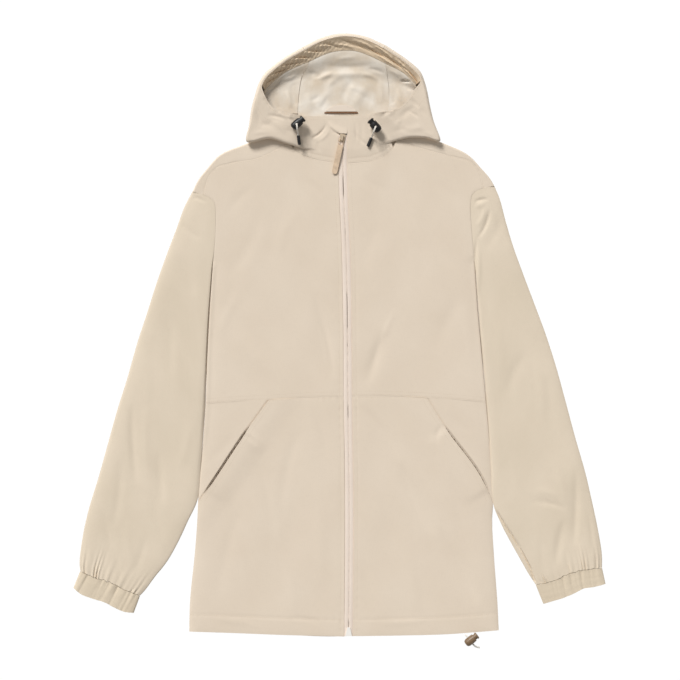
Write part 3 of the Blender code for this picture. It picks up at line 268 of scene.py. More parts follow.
# Cord locks, mm, and the cords through them
LOCKS = (
    # name, x, y, seat z, heading of the barrel in degrees, end x, y, z
    ("left", -66.0, 326.0, 15.6, 41.0, -62.0, 296.5, 17.2),
    ("right", 56.0, 322.0, 12.4, 131.0, 45.5, 296.5, 9.2),
)
CORD_DIAMETER = 2.5
CORD_STEPS = 23
DRAWCORD_ROUTE = (
    # out from the lock towards the cord's end, height above the lock's seat
    (0.0, 1.0), (0.0, 5.5), (0.0, 10.5), (0.5, 15.0), (2.4, 18.6), (6.0, 20.0), (9.3, 18.2), (10.9, 14.0),
    (11.7, 9.4), (13.2, 5.6), (15.4, 3.4), (18.2, 2.8), (21.6, 2.8),
)
CORD_FALLS_FROM = 9.0
CORD_FALLS_TO = 18.0
HEM_CORD_POINTS = ((195.2, -464.4, 3.4), (196.4, -465.3, 5.0), (198.2, -467.0, 6.6), (200.3, -469.7, 6.9),
                   (202.5, -472.5, 6.9), (204.7, -475.3, 6.9), (206.8, -478.0, 6.8), (209.4, -480.9, 5.2),
                   (213.0, -483.0, 2.8), (217.6, -484.0, 1.7))

# Spacing of the cloth's points, in millimetres
FINE = 2.7
SOFT_STEPS = 9
NECK_SHARE = 0.64
NECK_PARTS = 8
STAND_PARTS = 18
STAND_ROWS = 5


def cubic(start, end, start_slope, end_slope, t):
    """A smooth curve between two points that leaves and arrives with these slopes."""
    return (
        (2 * t**3 - 3 * t**2 + 1) * start
        + (t**3 - 2 * t**2 + t) * start_slope
        + (3 * t**2 - 2 * t**3) * end
        + (t**3 - t**2) * end_slope
    )


def along(rows, fractions):
    """Points at these fractions of the length of a smooth line through the rows."""
    rows = np.asarray(rows, float)
    chord = np.r_[0, np.cumsum(np.linalg.norm(np.diff(rows, axis=0), axis=1))]
    slopes = np.gradient(rows, chord, axis=0)
    t = np.linspace(0, 1, SOFT_STEPS)[:, None]
    dense = np.vstack([cubic(rows[i], rows[i + 1], step * slopes[i], step * slopes[i + 1], t)
                       for i, step in enumerate(np.diff(chord))])
    length = np.r_[0, np.cumsum(np.linalg.norm(np.diff(dense, axis=0), axis=1))]
    at = np.asarray(fractions, float) * length[-1]
    return np.stack([np.interp(at, length, column) for column in dense.T], axis=1)


def between(rows, per_gap):
    """Table rows with smoothly blended rows put between them."""
    rows = np.asarray(rows, float)
    slopes = np.gradient(rows, axis=0)
    at = np.linspace(0, len(rows) - 1, (len(rows) - 1) * per_gap + 1)
    i = np.minimum(at.astype(int), len(rows) - 2)
    t = (at - i)[:, None]
    return cubic(rows[i], rows[i + 1], slopes[i], slopes[i + 1], t)


def even(count):
    return np.linspace(0, 1, count)


def joined(*lines):
    """Lines end to end, with each shared point kept once."""
    return np.vstack([lines[0]] + [line[1:] for line in lines[1:]])


def travelled(line):
    """How far along the line each of its points is, from 0 to 1."""
    length = np.r_[0, np.cumsum(np.linalg.norm(np.diff(line, axis=0), axis=1))]
    return length / length[-1]


def split(line, parts):
    """The same straight steps, each cut into this many."""
    line = np.asarray(line, float)
    at = np.linspace(0, len(line) - 1, (len(line) - 1) * parts + 1)
    return np.stack([np.interp(at, np.arange(len(line)), column) for column in line.T], axis=1)


def shifted(line, dx, dy):
    return np.asarray(line, float) + (dx, dy)


def steps_for(line, spacing):
    """How many points a line needs at this spacing."""
    line = np.asarray(line, float)[:, :2]
    return int(np.linalg.norm(np.diff(line, axis=0), axis=1).sum() / spacing) + 2


def patch(left, right, bottom, top, across, up):
    """A grid of plan points filling four edges, rows from bottom to top."""
    u = np.asarray(across, float)[None, :, None]
    v = np.asarray(up, float)[:, None, None]
    left = left + (bottom[0] - left[0]) * (1 - v[:, 0]) + (top[0] - left[-1]) * v[:, 0]
    right = right + (bottom[-1] - right[0]) * (1 - v[:, 0]) + (top[-1] - right[-1]) * v[:, 0]
    sides = (1 - u) * left[:, None] + u * right[:, None]
    ends = (1 - v) * bottom[None] + v * top[None]
    corners = (
        (1 - u) * (1 - v) * bottom[0]
        + u * (1 - v) * bottom[-1]
        + (1 - u) * v * top[0]
        + u * v * top[-1]
    )
    return sides + ends - corners


def rounding(distance, reach):
    """A quarter of a circle, from 0 at the edge to 1 where the reach ends."""
    return np.sqrt(1 - (1 - np.clip(distance / reach, 0, 1)) ** 2)


def ease(t):
    t = np.clip(t, 0, 1)
    return t * t * (3 - 2 * t)


def folds_at(x, y, folds):
    """Height that a table of soft folds adds at these places; bow bends a fold sideways."""
    total = np.zeros(np.shape(x))
    for x0, y0, x1, y1, width, height, *bow in folds:
        run = math.hypot(x1 - x0, y1 - y0)
        cos, sin = (x1 - x0) / run, (y1 - y0) / run
        share = ((x - x0) * cos + (y - y0) * sin) / run
        body = np.clip(1 - (2 * share - 1) ** 2, 0, 1)
        aside = (y - y0) * cos - (x - x0) * sin - (bow[0] if bow else 0) * body
        total += height * body * np.exp(-2 * (aside / width) ** 2)
    return total


def off_line(x, y, line):
    """Signed distance of places from a line, and how far along it they are, both in mm."""
    line = np.asarray(line, float)[:, :2]
    best = np.full(np.shape(x), 1e9)
    side = np.zeros(np.shape(x))
    along_it = np.zeros(np.shape(x))
    start = 0.0
    for a, b in zip(line[:-1], line[1:]):
        run = np.linalg.norm(b - a)
        way = (b - a) / run
        t = np.clip((x - a[0]) * way[0] + (y - a[1]) * way[1], 0, run)
        dx, dy = x - a[0] - way[0] * t, y - a[1] - way[1] * t
        gap = np.hypot(dx, dy)
        closer = gap < best
        best = np.where(closer, gap, best)
        side = np.where(closer, np.sign(way[0] * dy - way[1] * dx), side)
        along_it = np.where(closer, start + t, along_it)
        start += run
    return best * side, along_it


def puckers(x, y, seams):
    """The fine crinkles that sewing leaves on both sides of a seam, and the dip at it."""
    total = np.zeros(np.shape(x))
    for line, reach, pitch, height, dip in seams:
        gap, run = off_line(x, y, line)
        turn = run / pitch
        wave = np.sin(2 * math.pi * turn + 1.7 * np.sin(turn / 2.3) + 0.9 * np.sin(turn / 5.1))
        strength = 0.65 + 0.35 * np.sin(turn / 3.7 + 1.3)
        total += height * strength * wave * np.exp(-(gap / reach) ** 2) - dip * np.exp(-(gap / SEAM_DIP) ** 2)
    return total


# Creases, in millimetres: x0, y0, x1, y1, width, height and, where a fold is bent, its bow
FRONT_CREASES = (
    (-40, 62, -11, -66, 7, -0.45, 5), (-33, 20, -16, -60, 5, 0.3, 3), (-118, 206, -176, 88, 15, -0.35, 9),
    (-64, 196, -96, 120, 12, 0.25, -6), (-186, 60, -132, -40, 16, -0.3, 8),
    (-160, 10, -96, -60, 18, 0.3, -10), (-176, 186, -130, 232, 9, -0.3, 4), (-60, 244, -24, 214, 8, -0.28, 3),
    (38, 250, 76, 222, 8, -0.3, -3), (72, 8, 46, -74, 8, -0.45, -4), (88, 40, 60, -30, 6, 0.25, -3),
    (128, 214, 178, 96, 15, -0.35, -9), (96, 180, 118, 90, 12, 0.25, 6), (196, 66, 150, -30, 16, -0.3, -8),
    (36, 96, 66, 176, 14, -0.25, 6), (188, 196, 146, 240, 9, -0.28, -4), (-188, -6, -150, 70, 10, 0.25, 4),
    (206, -10, 176, 60, 10, 0.25, -4), (34, -108, 94, -196, 9, -0.5, 6), (94, -196, 152, -310, 10, -0.55, -8),
    (150, -296, 214, -420, 9, -0.5, 6), (60, -118, 128, -236, 12, 0.4, -6),
    (40, -200, 88, -330, 16, -0.35, 8), (96, -330, 120, -438, 12, 0.3, 5),
    (178, -250, 216, -352, 12, -0.35, -6), (28, -300, 60, -430, 14, -0.28, -5),
    (140, -150, 176, -232, 9, 0.3, 5), (-60, -140, -92, -300, 12, -0.35, -8),
    (-40, -220, -30, -400, 14, 0.3, 6), (-128, -196, -104, -330, 13, -0.35, 7),
    (-150, -260, -190, -420, 14, -0.3, -6), (-90, -330, -70, -440, 11, 0.26, 5),
    (-170, -300, -140, -392, 10, 0.25, 4), (-145, -154, -129, -172, 4, -0.55, 2),
    (-150, -158, -120, -182, 8, 0.3, 2), (158, -136, 150, -168, 5, -0.4, -2),
    (-212, -200, -160, -150, 10, -0.25, -4), (-40, -110, -20, -190, 10, -0.28, 4),
    (206, -150, 168, -118, 9, -0.25, 3), (-196, -440, -120, -452, 6, 0.22, 2),
    (60, -446, 140, -440, 6, 0.22, -2), (-80, -436, -20, -448, 5, -0.2, 2),
)
SHOULDER_CREASES = (
    (-150, 276, -196, 252, 5, -0.35, 2), (-200, 236, -214, 220, 6, -0.3, -2),
    (-130, 292, -112, 280, 5, -0.3, 1), (160, 288, 206, 262, 5, -0.35, -2), (211, 238, 224, 226, 6, -0.4, 2),
    (120, 300, 140, 290, 5, -0.3, 1),
)
SLEEVE_CREASES = (
    (-322, -104, -313, -232, 7, -0.7, -3), (-283, -178, -276, -270, 7, -0.6, 2),
    (-300, -110, -294, -250, 8, 0.4, -3), (-340, -190, -352, -300, 9, -0.5, 4),
    (-258, 130, -224, 62, 9, -0.45, 5), (-246, 176, -214, 150, 6, -0.4, -3),
    (-230, 214, -206, 206, 4, -0.5, 2), (-270, 40, -262, -60, 14, -0.4, 6),
    (-312, -20, -296, -110, 12, 0.35, 5), (-252, 20, -246, -96, 10, 0.3, -4),
    (-372, -270, -352, -340, 8, -0.5, 3), (-330, -290, -318, -360, 8, 0.45, -3),
    (-300, -310, -320, -372, 6, -0.45, 2), (-392, -330, -378, -372, 5, 0.4, 1),
    (-350, -330, -340, -378, 5, -0.4, 1), (-232, -130, -250, -210, 9, 0.35, 4),
    (-290, -240, -270, -318, 9, -0.4, -4), (-362, -330, -366, -374, 5, -0.35, 0),
    (209, 207.5, 231, 211, 3, -0.9, 1.2), (210, 199, 226, 203, 5, 0.5, 1), (233, 196, 213, 150, 3.4, -1.0, 4),
    (226, 200, 212, 168, 5, 0.6, 3), (212, 150, 211, 86, 3.2, -0.9, -1), (216, 140, 214, 60, 5, 0.5, 1),
    (244, 190, 262, 136, 9, -0.4, -4), (270, 96, 306, 10, 13, -0.4, 6), (250, 20, 256, -60, 12, 0.3, -5),
    (290, -26, 262, -96, 12, -0.5, -7), (300, -36, 318, -120, 10, 0.4, 4),
    (322, -60, 334, -150, 12, -0.35, -4), (365, -205, 362, -330, 7, -0.7, 3),
    (347, -284, 336, -360, 7, -0.6, -2), (294, -255, 352, -268, 5, -0.6, 2),
    (300, -240, 340, -250, 7, 0.4, 2), (330, -190, 350, -262, 9, 0.4, 3), (384, -270, 392, -340, 6, -0.45, 2),
    (310, -316, 322, -372, 6, -0.45, -2), (372, -320, 378, -360, 5, 0.4, 1),
    (350, -330, 356, -366, 4, -0.4, 0), (262, -190, 282, -262, 9, 0.35, 4),
)
HOOD_CREASES = (
    (-43, 309, -25, 326, 3.2, -1.2, -3), (-52, 322, -66, 344, 5, 0.7, 2), (-112, 340, -84, 333, 3, -1.0, 2),
    (-96, 345, -70, 336, 2.6, 0.7, -1.5), (-78, 337, -68, 328, 3, -1.1, 1), (-122, 326, -98, 318, 7, -0.8, 3),
    (-130, 350, -116, 322, 6, -0.9, -3), (-104, 330, -84, 312, 7, 0.8, 3), (-60, 306, -84, 318, 5, -0.8, -2),
    (-138, 310, -104, 312, 4, 0.8, 2), (-70, 352, -58, 338, 3, -0.9, 1),
    (-118, 366, -104, 350, 3.5, -0.8, 1.5), (-47, 330, -40, 308, 3, 0.7, 1),
    (-88, 348, -78, 330, 2.5, -0.8, 1), (-130, 385, -124, 356, 4, 0.6, -1.5),
    (57, 304, 47, 322, 3.2, -1.0, 2), (64, 336, 78, 346, 3.4, -1.0, 2), (92, 330, 118, 352, 6, -0.9, 4),
    (108, 346, 122, 336, 3, -0.9, 1), (100, 318, 130, 324, 7, 0.8, -3), (124, 350, 142, 330, 6, -0.8, 3),
    (88, 352, 74, 340, 2.6, 0.8, 1), (80, 312, 104, 318, 5, -0.8, 2), (112, 366, 124, 352, 3.4, -0.8, -1.5),
    (132, 312, 148, 306, 4, 0.8, 1), (98, 338, 88, 322, 3, 0.6, -1), (52, 336, 50, 316, 3, -0.9, 1),
    (-60, 450, -40, 456, 4, -0.5, 1), (20, 463, 44, 458, 4, -0.5, -1), (90, 436, 108, 426, 4, -0.6, 1),
    (-110, 412, -92, 422, 4, -0.6, -1), (118, 412, 128, 400, 4, -0.5, 1), (-124, 396, -114, 408, 4, -0.5, 1),
)
LINING_CREASES = (
    (-114, 366, -91, 396, 2.4, -3.2, 0), (94, 394.5, 113, 393.5, 2.4, -2.8, 0),
    (-70, 392, -64, 356, 7, -1.6, -2), (-50, 408, -28, 396, 5, -1.3, 2), (-44, 398, -10, 408, 4, 1.2, -3),
    (-30, 420, 60, 421, 5, -0.8, -4), (-20, 382, 6, 402, 6, 0.9, 4), (4, 362, 22, 398, 7, -0.9, 3),
    (34, 404, 62, 394, 4, 1.2, 3), (44, 414, 70, 406, 3.5, -1.2, 1), (60, 396, 66, 360, 6, 0.9, 2),
    (-50, 376, -40, 350, 6, 0.9, -2), (-18, 372, -30, 350, 5, -0.8, 1), (78, 394, 82, 358, 6, -1.7, 2),
    (90, 384, 104, 358, 5, 0.9, -3), (-84, 380, -76, 352, 5, 1.1, 2), (-100, 376, -92, 352, 5, -1.0, -2),
    (-112, 372, -84, 388, 4, -0.9, 2), (-90, 396, -66, 404, 4, 1.0, -2), (-8, 426, 30, 430, 4, 0.8, 2),
    (30, 376, 50, 356, 6, -0.8, 2), (96, 396, 112, 380, 4, -0.9, -2), (76, 412, 94, 400, 4, 0.9, 1),
    (12, 384, 36, 378, 5, 0.6, 2), (-46, 364, -30, 372, 4, -0.7, -1),
)
COLLAR_CREASES = (
    (-47, 305, -20, 329, 2.6, -1.7, -5), (-38, 300, -14, 324, 3.5, 0.7, -5), (52, 291, 22, 318, 2.6, -1.1, 4),
    (-30, 284, -34, 300, 3, -0.7, 1), (60, 284, 50, 300, 3, -0.7, -1), (24, 330, 26, 296, 3, -0.6, 1),
    (-30, 296, -28, 326, 4, -0.5, 1), (-50, 298, -40, 322, 4, 0.5, -1), (14, 336, 16, 280, 5, 0.3, 1),
    (34, 334, 30, 290, 5, -0.4, 2), (58, 296, 48, 324, 4, 0.5, 1), (24, 300, 40, 282, 5, -0.3, 1),
    (-18, 300, -10, 280, 5, -0.4, 1), (44, 330, 58, 312, 4, -0.5, 1),
)
# Facing creases: distance along the brim from the left end and across it, in mm, as above
FACING_CREASES = (
    (2, 4, 34, 22, 3.2, -1.6, 2), (10, 2, 44, 20, 2.4, 1.2, 1), (22, 2, 58, 22, 3.0, -1.7, 2),
    (34, 1, 66, 18, 2.4, 1.1, 1), (44, 3, 80, 22, 2.8, -1.6, 2), (58, 2, 92, 20, 2.6, 1.2, 1),
    (66, 2, 100, 22, 2.8, -1.5, 1), (82, 2, 112, 18, 2.4, 1.1, 1), (90, 3, 126, 21, 2.8, -1.4, 2),
    (106, 4, 140, 16, 2.6, 1.1, 1), (118, 3, 150, 22, 2.6, -1.3, 1), (132, 12, 172, 22, 3.0, 1.0, -1),
    (142, 3, 176, 12, 2.6, -1.2, 2), (158, 14, 206, 20, 3.0, -1.3, -2), (164, 4, 204, 10, 3.0, 1.3, 1),
    (176, 8, 226, 15, 2.8, -1.8, 2), (196, 3, 238, 9, 2.6, 1.2, -1), (204, 16, 250, 22, 3.0, 1.1, 1),
    (214, 11, 262, 19, 2.8, -1.9, -2), (236, 5, 280, 12, 3.0, 1.3, 1), (250, 14, 296, 20, 3.0, 1.2, 1),
    (256, 8, 304, 16, 2.8, -1.9, 2), (286, 4, 322, 12, 2.8, 1.2, -1), (290, 16, 330, 21, 2.8, -1.4, 1),
    (300, 6, 336, 14, 2.4, -1.3, -1),
)
FACING_GATHERS = (
    # lean, pitch, waver and its period, height, and the middle and reach of the gathered stretch, mm
    (0.9, 1.7, 1.5, 19, 0.9, 60, 75),
    (-1.1, 3.1, 1.2, 13, 0.28, 0, 1e9),
)
CREASE_GAIN = 1.6
SEAM_DIP = 1.3
FRONT_SEAMS = (
    # line, reach of the crinkles, pitch, height, dip at the seam
    (WAIST_LEFT, 5.0, 8.5, 0.13, 0.18), (WAIST_RIGHT, 5.0, 9.3, 0.13, 0.18),
    (YOKE_LEFT, 5.0, 7.9, 0.16, 0.2), (YOKE_RIGHT, 5.0, 8.3, 0.16, 0.2),
    (NECK_LEFT, 5.0, 7.1, 0.18, 0.15), (NECK_RIGHT, 5.0, 7.4, 0.18, 0.15),
    (shifted(HEM_LEFT, 0, 26), 6.0, 10.3, 0.16, 0.34), (shifted(HEM_RIGHT, 0, 26), 6.0, 9.7, 0.16, 0.34),
    (shifted(ZIP_LINE, -13, 0), 3.5, 14.0, 0.12, 0.25), (shifted(ZIP_LINE, 13, 0), 3.5, 13.0, 0.12, 0.25),
    (SLANT_LEFT, 3.0, 9.0, 0.10, 0.0), (SLANT_RIGHT, 3.0, 9.4, 0.10, 0.0),
    (ARMHOLE_LEFT, 5.0, 8.7, 0.14, 0.2), (ARMHOLE_RIGHT, 5.0, 9.1, 0.14, 0.2),
)
COLLAR_SEAMS = (
    (shifted(NECK_LEFT, 0, 7), 4.0, 7.3, 0.14, 0.25), (shifted(NECK_RIGHT, 0, 7), 4.0, 7.7, 0.14, 0.25),
    (shifted(COLLAR_RIGHT_SIDE, -9, 0), 4.0, 6.7, 0.14, 0.25),
)
HOOD_SEAMS = (
    (np.array([row[6:8] for row in HOOD_LEFT]), 7.0, 8.1, 0.2, 0.0),
    (np.array([row[6:8] for row in HOOD_RIGHT]), 7.0, 8.7, 0.2, 0.0),
)
HEM_STITCH = 26.0
HEM_FOLD_RISE = 0.08
SHOULDER_ROWS = 16
SHOULDER_COLUMNS = 44
SLEEVE_LENGTH = 620.0
SLEEVE_PARTS = 13
CAP_PARTS = 7

# Where a sleeve lies against the body, mm: the edge height of its roll and the roll's width
VALLEYS = {"left": (1.5, 7.0), "right": (1.9, 4.0)}
VALLEY_FOOT = -262.0
VALLEY_FAINT = -190.0
VALLEY_CLOSE = 0.7
SIDE_LIFTS = {"left": 1.5, "right": 0.7}
SIDE_LIFT_WIDTH = 4.5
BACK_OUT = 1.4
# The under layer that shows along the right sleeve below the fork
UNDER_LAYER = (-262.0, -388.0)
UNDER_STRIP = 6.0
UNDER_DROP = 1.2
UNDER_GROOVE = 2.6
CUFF_GATHER = 1.25
CUFF_GATHERS = 17
CUFF_GATHER_REACH = 26.0
CUFF_ROW_DIP = 0.1
CUFF_SEAM_WAVE = 0.7
CUFF_LEAN = {"left": 0.03, "right": -0.04}
CUFF_DEEP = {
    # place across the cuff, depth in mm and width of each deeper pleat
    "left": ((0.12, 0.5, 0.014), (0.37, 0.8, 0.02), (0.44, 0.4, 0.012), (0.62, 0.9, 0.018),
             (0.83, 0.5, 0.02)),
    "right": ((0.2, 0.6, 0.016), (0.33, 1.0, 0.018), (0.5, 0.5, 0.02), (0.61, 1.0, 0.016), (0.72, 0.5, 0.014),
              (0.88, 0.6, 0.02)),
}
FLAP_COLUMNS = 24
SEWN_ROWS = 1.9
HOOD_GAIN = 1.5
FACING_GAIN = 1.9
RIM_ANGLE = 50.0

# Each cloth piece's grid of points, in mm, by the name of its piece
GRIDS = {}

# The studio, in metres: the floor, the light's place, width in degrees and strength, and the camera's frame
FLOOR_Z = -0.0003
FLOOR_SIZE = 6.0
FLOOR_GLOW = 1.0
SKY = 0.34
KEY_PLACE = (-1.15, 2.1, 1.95)
KEY_SPREAD = 20
KEY_STRENGTH = 3.25
CAMERA_HEIGHT = 3.5
BODY_LEVEL = 0.004
FRAME_PIXELS = 680
ORIGIN_PIXEL = (339.5, 335.5)
PIXEL = 1.55


def with_height(plan, height):
    return np.dstack([plan, height])


def body_top(x, y):
    """Height of the fronts: low at the sides, a little higher at the hem, level inside."""
    left = np.interp(y, *np.transpose(SIDE_LEFT)[::-1])
    right = np.interp(y, *np.transpose(SIDE_RIGHT)[::-1])
    hem = np.interp(x, *np.transpose(HEM_LEFT + HEM_RIGHT[::-1]))
    underarm = SIDE_LEFT[-1][1]
    inset = np.minimum(x - left, right - x) + np.maximum(y - underarm, 0)
    side = SIDE_TOP + (CROWN_TOP - SIDE_TOP) * rounding(inset, EDGE_ROUND)
    foot = HEM_TOP + (CROWN_TOP - HEM_TOP) * rounding(y - hem, HEM_ROUND)
    beside = ease((y - VALLEY_FAINT) / 50) * ease((124 - y) / 20)
    lift = np.where(x < 0, SIDE_LIFTS["left"], SIDE_LIFTS["right"]) * beside
    lift = lift * np.exp(-((inset / SIDE_LIFT_WIDTH) ** 2))
    return np.minimum(side, foot) + folds_at(x, y, BODY_FOLDS) * ease(inset / EDGE_ROUND) + lift


def swell(x, y, height):
    """The slow, uneven rise and fall of cloth laid out by hand."""
    return height * (
        np.sin(x / 31 + 1.9 * np.sin(y / 83)) * np.cos(y / 44 + 0.8)
        + 0.6 * np.sin(x / 17 - y / 29 + 2.2 * np.sin(x / 71))
        + 0.35 * np.sin(x / 9.7 + y / 13.1 + 1.4 * np.sin(y / 37))
    )


def front_relief(x, y):
    return CREASE_GAIN * folds_at(x, y, FRONT_CREASES) + puckers(x, y, FRONT_SEAMS) + swell(x, y, 0.2)


def collar_top(x, y):
    foot = np.interp(x, *np.transpose(NECK_LEFT + NECK_RIGHT[::-1]))
    return CROWN_TOP + (COLLAR_TOP - CROWN_TOP) * ease((y - foot) / EDGE_ROUND)


def turned_corner(x, y):
    """How far the turned corner of the left stand lies above the rest."""
    crease = np.interp(x, *np.transpose(TURNED_CORNER))
    fade = ease((x - TURNED_CORNER[0][0]) / 9) * (1 - 0.45 * ease((x - 2) / 8))
    step = ease((y - crease) / TURNED_WIDTH) * (1 - ease((y - crease) / 14))
    dip = 0.7 * np.exp(-(((y - crease + 1.5) / 2.2) ** 2))
    return (TURNED_RISE * step - dip) * fade


def quads(rows, columns, closed):
    return [
        (
            i * columns + j,
            i * columns + (j + 1) % columns,
            (i + 1) * columns + (j + 1) % columns,
            (i + 1) * columns + j,
        )
        for i in range(rows - 1)
        for j in range(columns if closed else columns - 1)
    ]


def weave_map(grid, closed, turn):
    """The weave along a piece, for each face: U across and V up it, in metres of cloth."""
    rows, columns = grid.shape[:2]
    ring = np.concatenate([grid, grid[:, :1]], axis=1) if closed else grid
    steps = np.linalg.norm(np.diff(ring, axis=1), axis=2)
    u = np.concatenate([np.zeros((rows, 1)), np.cumsum(steps, axis=1)], axis=1)
    u -= u.mean(axis=1, keepdims=True)
    steps = np.linalg.norm(np.diff(grid, axis=0), axis=2)
    v = np.concatenate([np.zeros((1, columns)), np.cumsum(steps, axis=0)])
    v = np.broadcast_to(v.mean(axis=1, keepdims=True), u.shape)
    cos, sin = math.cos(turn), math.sin(turn)
    u, v = cos * u - sin * v, sin * u + cos * v
    at = np.array(quads(rows, u.shape[1], False)).reshape(-1)
    return (np.stack([u.reshape(-1)[at], v.reshape(-1)[at]], axis=1) * MM).reshape(-1, 4, 2)


def placed(name, data):
    """A new object with this data, in the scene."""
    made = bpy.data.objects.new(name, data)
    bpy.context.scene.collection.objects.link(made)
    return made


def walled(name, mesh, node, look, wall=WALL):
    """The mesh as a piece with a wall and sharp cut edges, in place of its node."""
    mesh.materials.append(LOOKS[look])
    mesh.shade_smooth()
    made = placed(name, mesh)
    thickness = made.modifiers.new("wall", "SOLIDIFY")
    thickness.thickness = wall * MM
    thickness.offset = -1
    rims = made.modifiers.new("rims", "EDGE_SPLIT")
    rims.split_angle = math.radians(RIM_ANGLE)
    rims.use_edge_sharp = False
    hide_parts(node)
    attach(made, BODY)
    return made


def cloth(name, node, grid, look, wall=WALL, up_column=0, up=1, closed=False,
          turn=0.0):
    """A cloth piece in place of its node: a smooth grid with a wall, its grid kept by name."""
    rows, columns = grid.shape[:2]
    faces = np.array(quads(rows, columns, closed))
    points = grid.reshape(-1, 3)
    row_faces = columns if closed else columns - 1
    first = faces[up_column::row_faces]
    a, b, c = (points[first[:, k]] for k in range(3))
    seen = np.cross(b - a, c - b)[:, 2].sum()
    mesh = bpy.data.meshes.new(name)
    order = slice(None, None, -1) if seen * up < 0 else slice(None)
    mesh.from_pydata((points * MM).tolist(), [], faces[:, order].tolist())
    flat = weave_map(grid, closed, turn)[:, order]
    mesh.uv_layers.new(name="weave").data.foreach_set("uv", flat.ravel())
    made = walled(name, mesh, node, look, wall)
    GRIDS[name] = grid
    return made


def back():
    """The back: flat, with both shoulders carried over to the yoke seams in front."""
    radius = CROWN_TOP / 2
    n = SHOULDER_COLUMNS
    shoulders = []
    for shoulder, yoke in ((SHOULDER_LEFT, YOKE_LEFT), (SHOULDER_RIGHT, YOKE_RIGHT)):
        edge = along(shoulder, even(n))
        seam = shifted(along(yoke, even(n)), 0, SEAM / 2)
        inward = seam - edge
        inward /= np.linalg.norm(inward, axis=1)[:, None]
        shoulders.append((edge, inward, seam))
    (left, in_left, _), (right, in_right, _) = shoulders
    top = joined(left + radius * in_left, along(BACK_NECK, even(25)), (right + radius * in_right)[::-1])
    across = travelled(np.c_[top[:, 0], np.zeros(len(top))])
    side_left, side_right = (
        np.vstack([shifted(along(side, even(34)), out, 0), shifted(between(armhole, 3)[3:-1], out, 0), end])
        for side, armhole, out, end in ((SIDE_LEFT, ARMHOLE_LEFT, -BACK_OUT, top[:1]),
                                        (SIDE_RIGHT, ARMHOLE_RIGHT, BACK_OUT, top[-1:]))
    )
    up = travelled(side_left)
    hem = along(HEM_LEFT + HEM_RIGHT[::-1], across)
    plan = patch(side_left, side_right, hem, top, across, up)
    columns = len(top)
    points = list(with_height(plan, np.zeros(plan.shape[:2])).reshape(-1, 3))
    faces = quads(len(up), columns, False)
    first = (len(up) - 1) * columns
    joins = (range(first, first + n), range(first + columns - 1, first + columns - 1 - n, -1))
    for (edge, inward, seam), join in zip(shoulders, joins):
        crown = edge + radius * inward
        turns = np.linspace(-math.pi / 2, math.pi / 2, 9)[1:]
        rows = [np.c_[edge + inward * radius * (1 - math.cos(a)), np.full(n, radius * (1 + math.sin(a)))]
                for a in turns]
        for share in np.linspace(0, 1, SHOULDER_ROWS)[1:]:
            at = crown + (seam - crown) * share
            lift = folds_at(at[:, 0], at[:, 1], SHOULDER_CREASES) + puckers(at[:, 0], at[:, 1], FRONT_SEAMS)
            lift += swell(at[:, 0], at[:, 1], 0.12)
            rows.append(np.c_[at, CROWN_TOP + lift * ease(4 * share)])
        before = list(join)
        step = 1 if before[1] > before[0] else -1
        for row in rows:
            now = list(range(len(points), len(points) + n))
            points += list(row)
            faces += [(before[i], before[i + 1], now[i + 1], now[i])[::step] for i in range(n - 1)]
            before = now
    points = np.array(points)
    mesh = bpy.data.meshes.new("back_cloth")
    mesh.from_pydata((points * MM).tolist(), [], [face[::-1] for face in faces])
    corners = np.array([loop.vertex_index for loop in mesh.loops])
    mesh.uv_layers.new(name="weave").data.foreach_set("uv", (points[corners, :2] * MM).ravel())
    made = walled("back_cloth", mesh, "back", "shell")


def front_upper(side, edge, armhole, yoke, neck, waist, zip_side):
    """An upper front, from the waist seam to the neck and from its side edge to the zip."""
    yoke_columns = steps_for(yoke, FINE)
    across = np.r_[np.linspace(0, NECK_SHARE, yoke_columns),
                   np.linspace(NECK_SHARE, 1, NECK_PARTS * (len(neck) - 1) + 1)[1:]]
    low = along(edge[-4:], even(steps_for(edge[-4:], FINE)))
    side_line = joined(low, between(armhole, 6)[: 6 * YOKE_ROW + 1])
    up = travelled(side_line)
    zip_line = [row for row in ZIP_LINE if -100 <= row[1] <= 267]
    centre = shifted(along(zip_line, up), zip_side * ZIP_HALF, 0)
    top = joined(along(yoke, even(yoke_columns)), split(neck, NECK_PARTS))
    plan = patch(side_line, centre, along(waist, across), top, across, up)
    plan[..., 1] += SEAM * (0.5 - up)[:, None]
    x, y = plan[..., 0], plan[..., 1]
    height = body_top(x, y) + front_relief(x, y)
    cloth("front_upper_cloth_" + side, "front_upper_" + side, with_height(plan, height), "shell")


def inward_of(slant, zip_side):
    """The unit direction across a pocket's slant, towards the middle of the front."""
    run = np.subtract(slant[-1], slant[0])
    run = run / np.linalg.norm(run)
    return np.array((run[1], -run[0])) * zip_side


def mouth_share(plan, slant):
    """From 0 at a pocket mouth's ends to 1 in its middle, for places by their share of the slant."""
    run = np.subtract(slant[-1], slant[0])
    share = ((plan - slant[0]) @ run) / (run @ run)
    first, last = MOUTH
    middle = np.clip((share - first) / (last - first), 0, 1)
    return ease(6 * middle * (1 - middle))


def past_slant(plan, slant, zip_side):
    """How far places lie past a pocket's slanted line, towards the middle of the front."""
    gap, _ = off_line(plan[..., 0], plan[..., 1], along(slant, even(40)))
    return gap * -zip_side


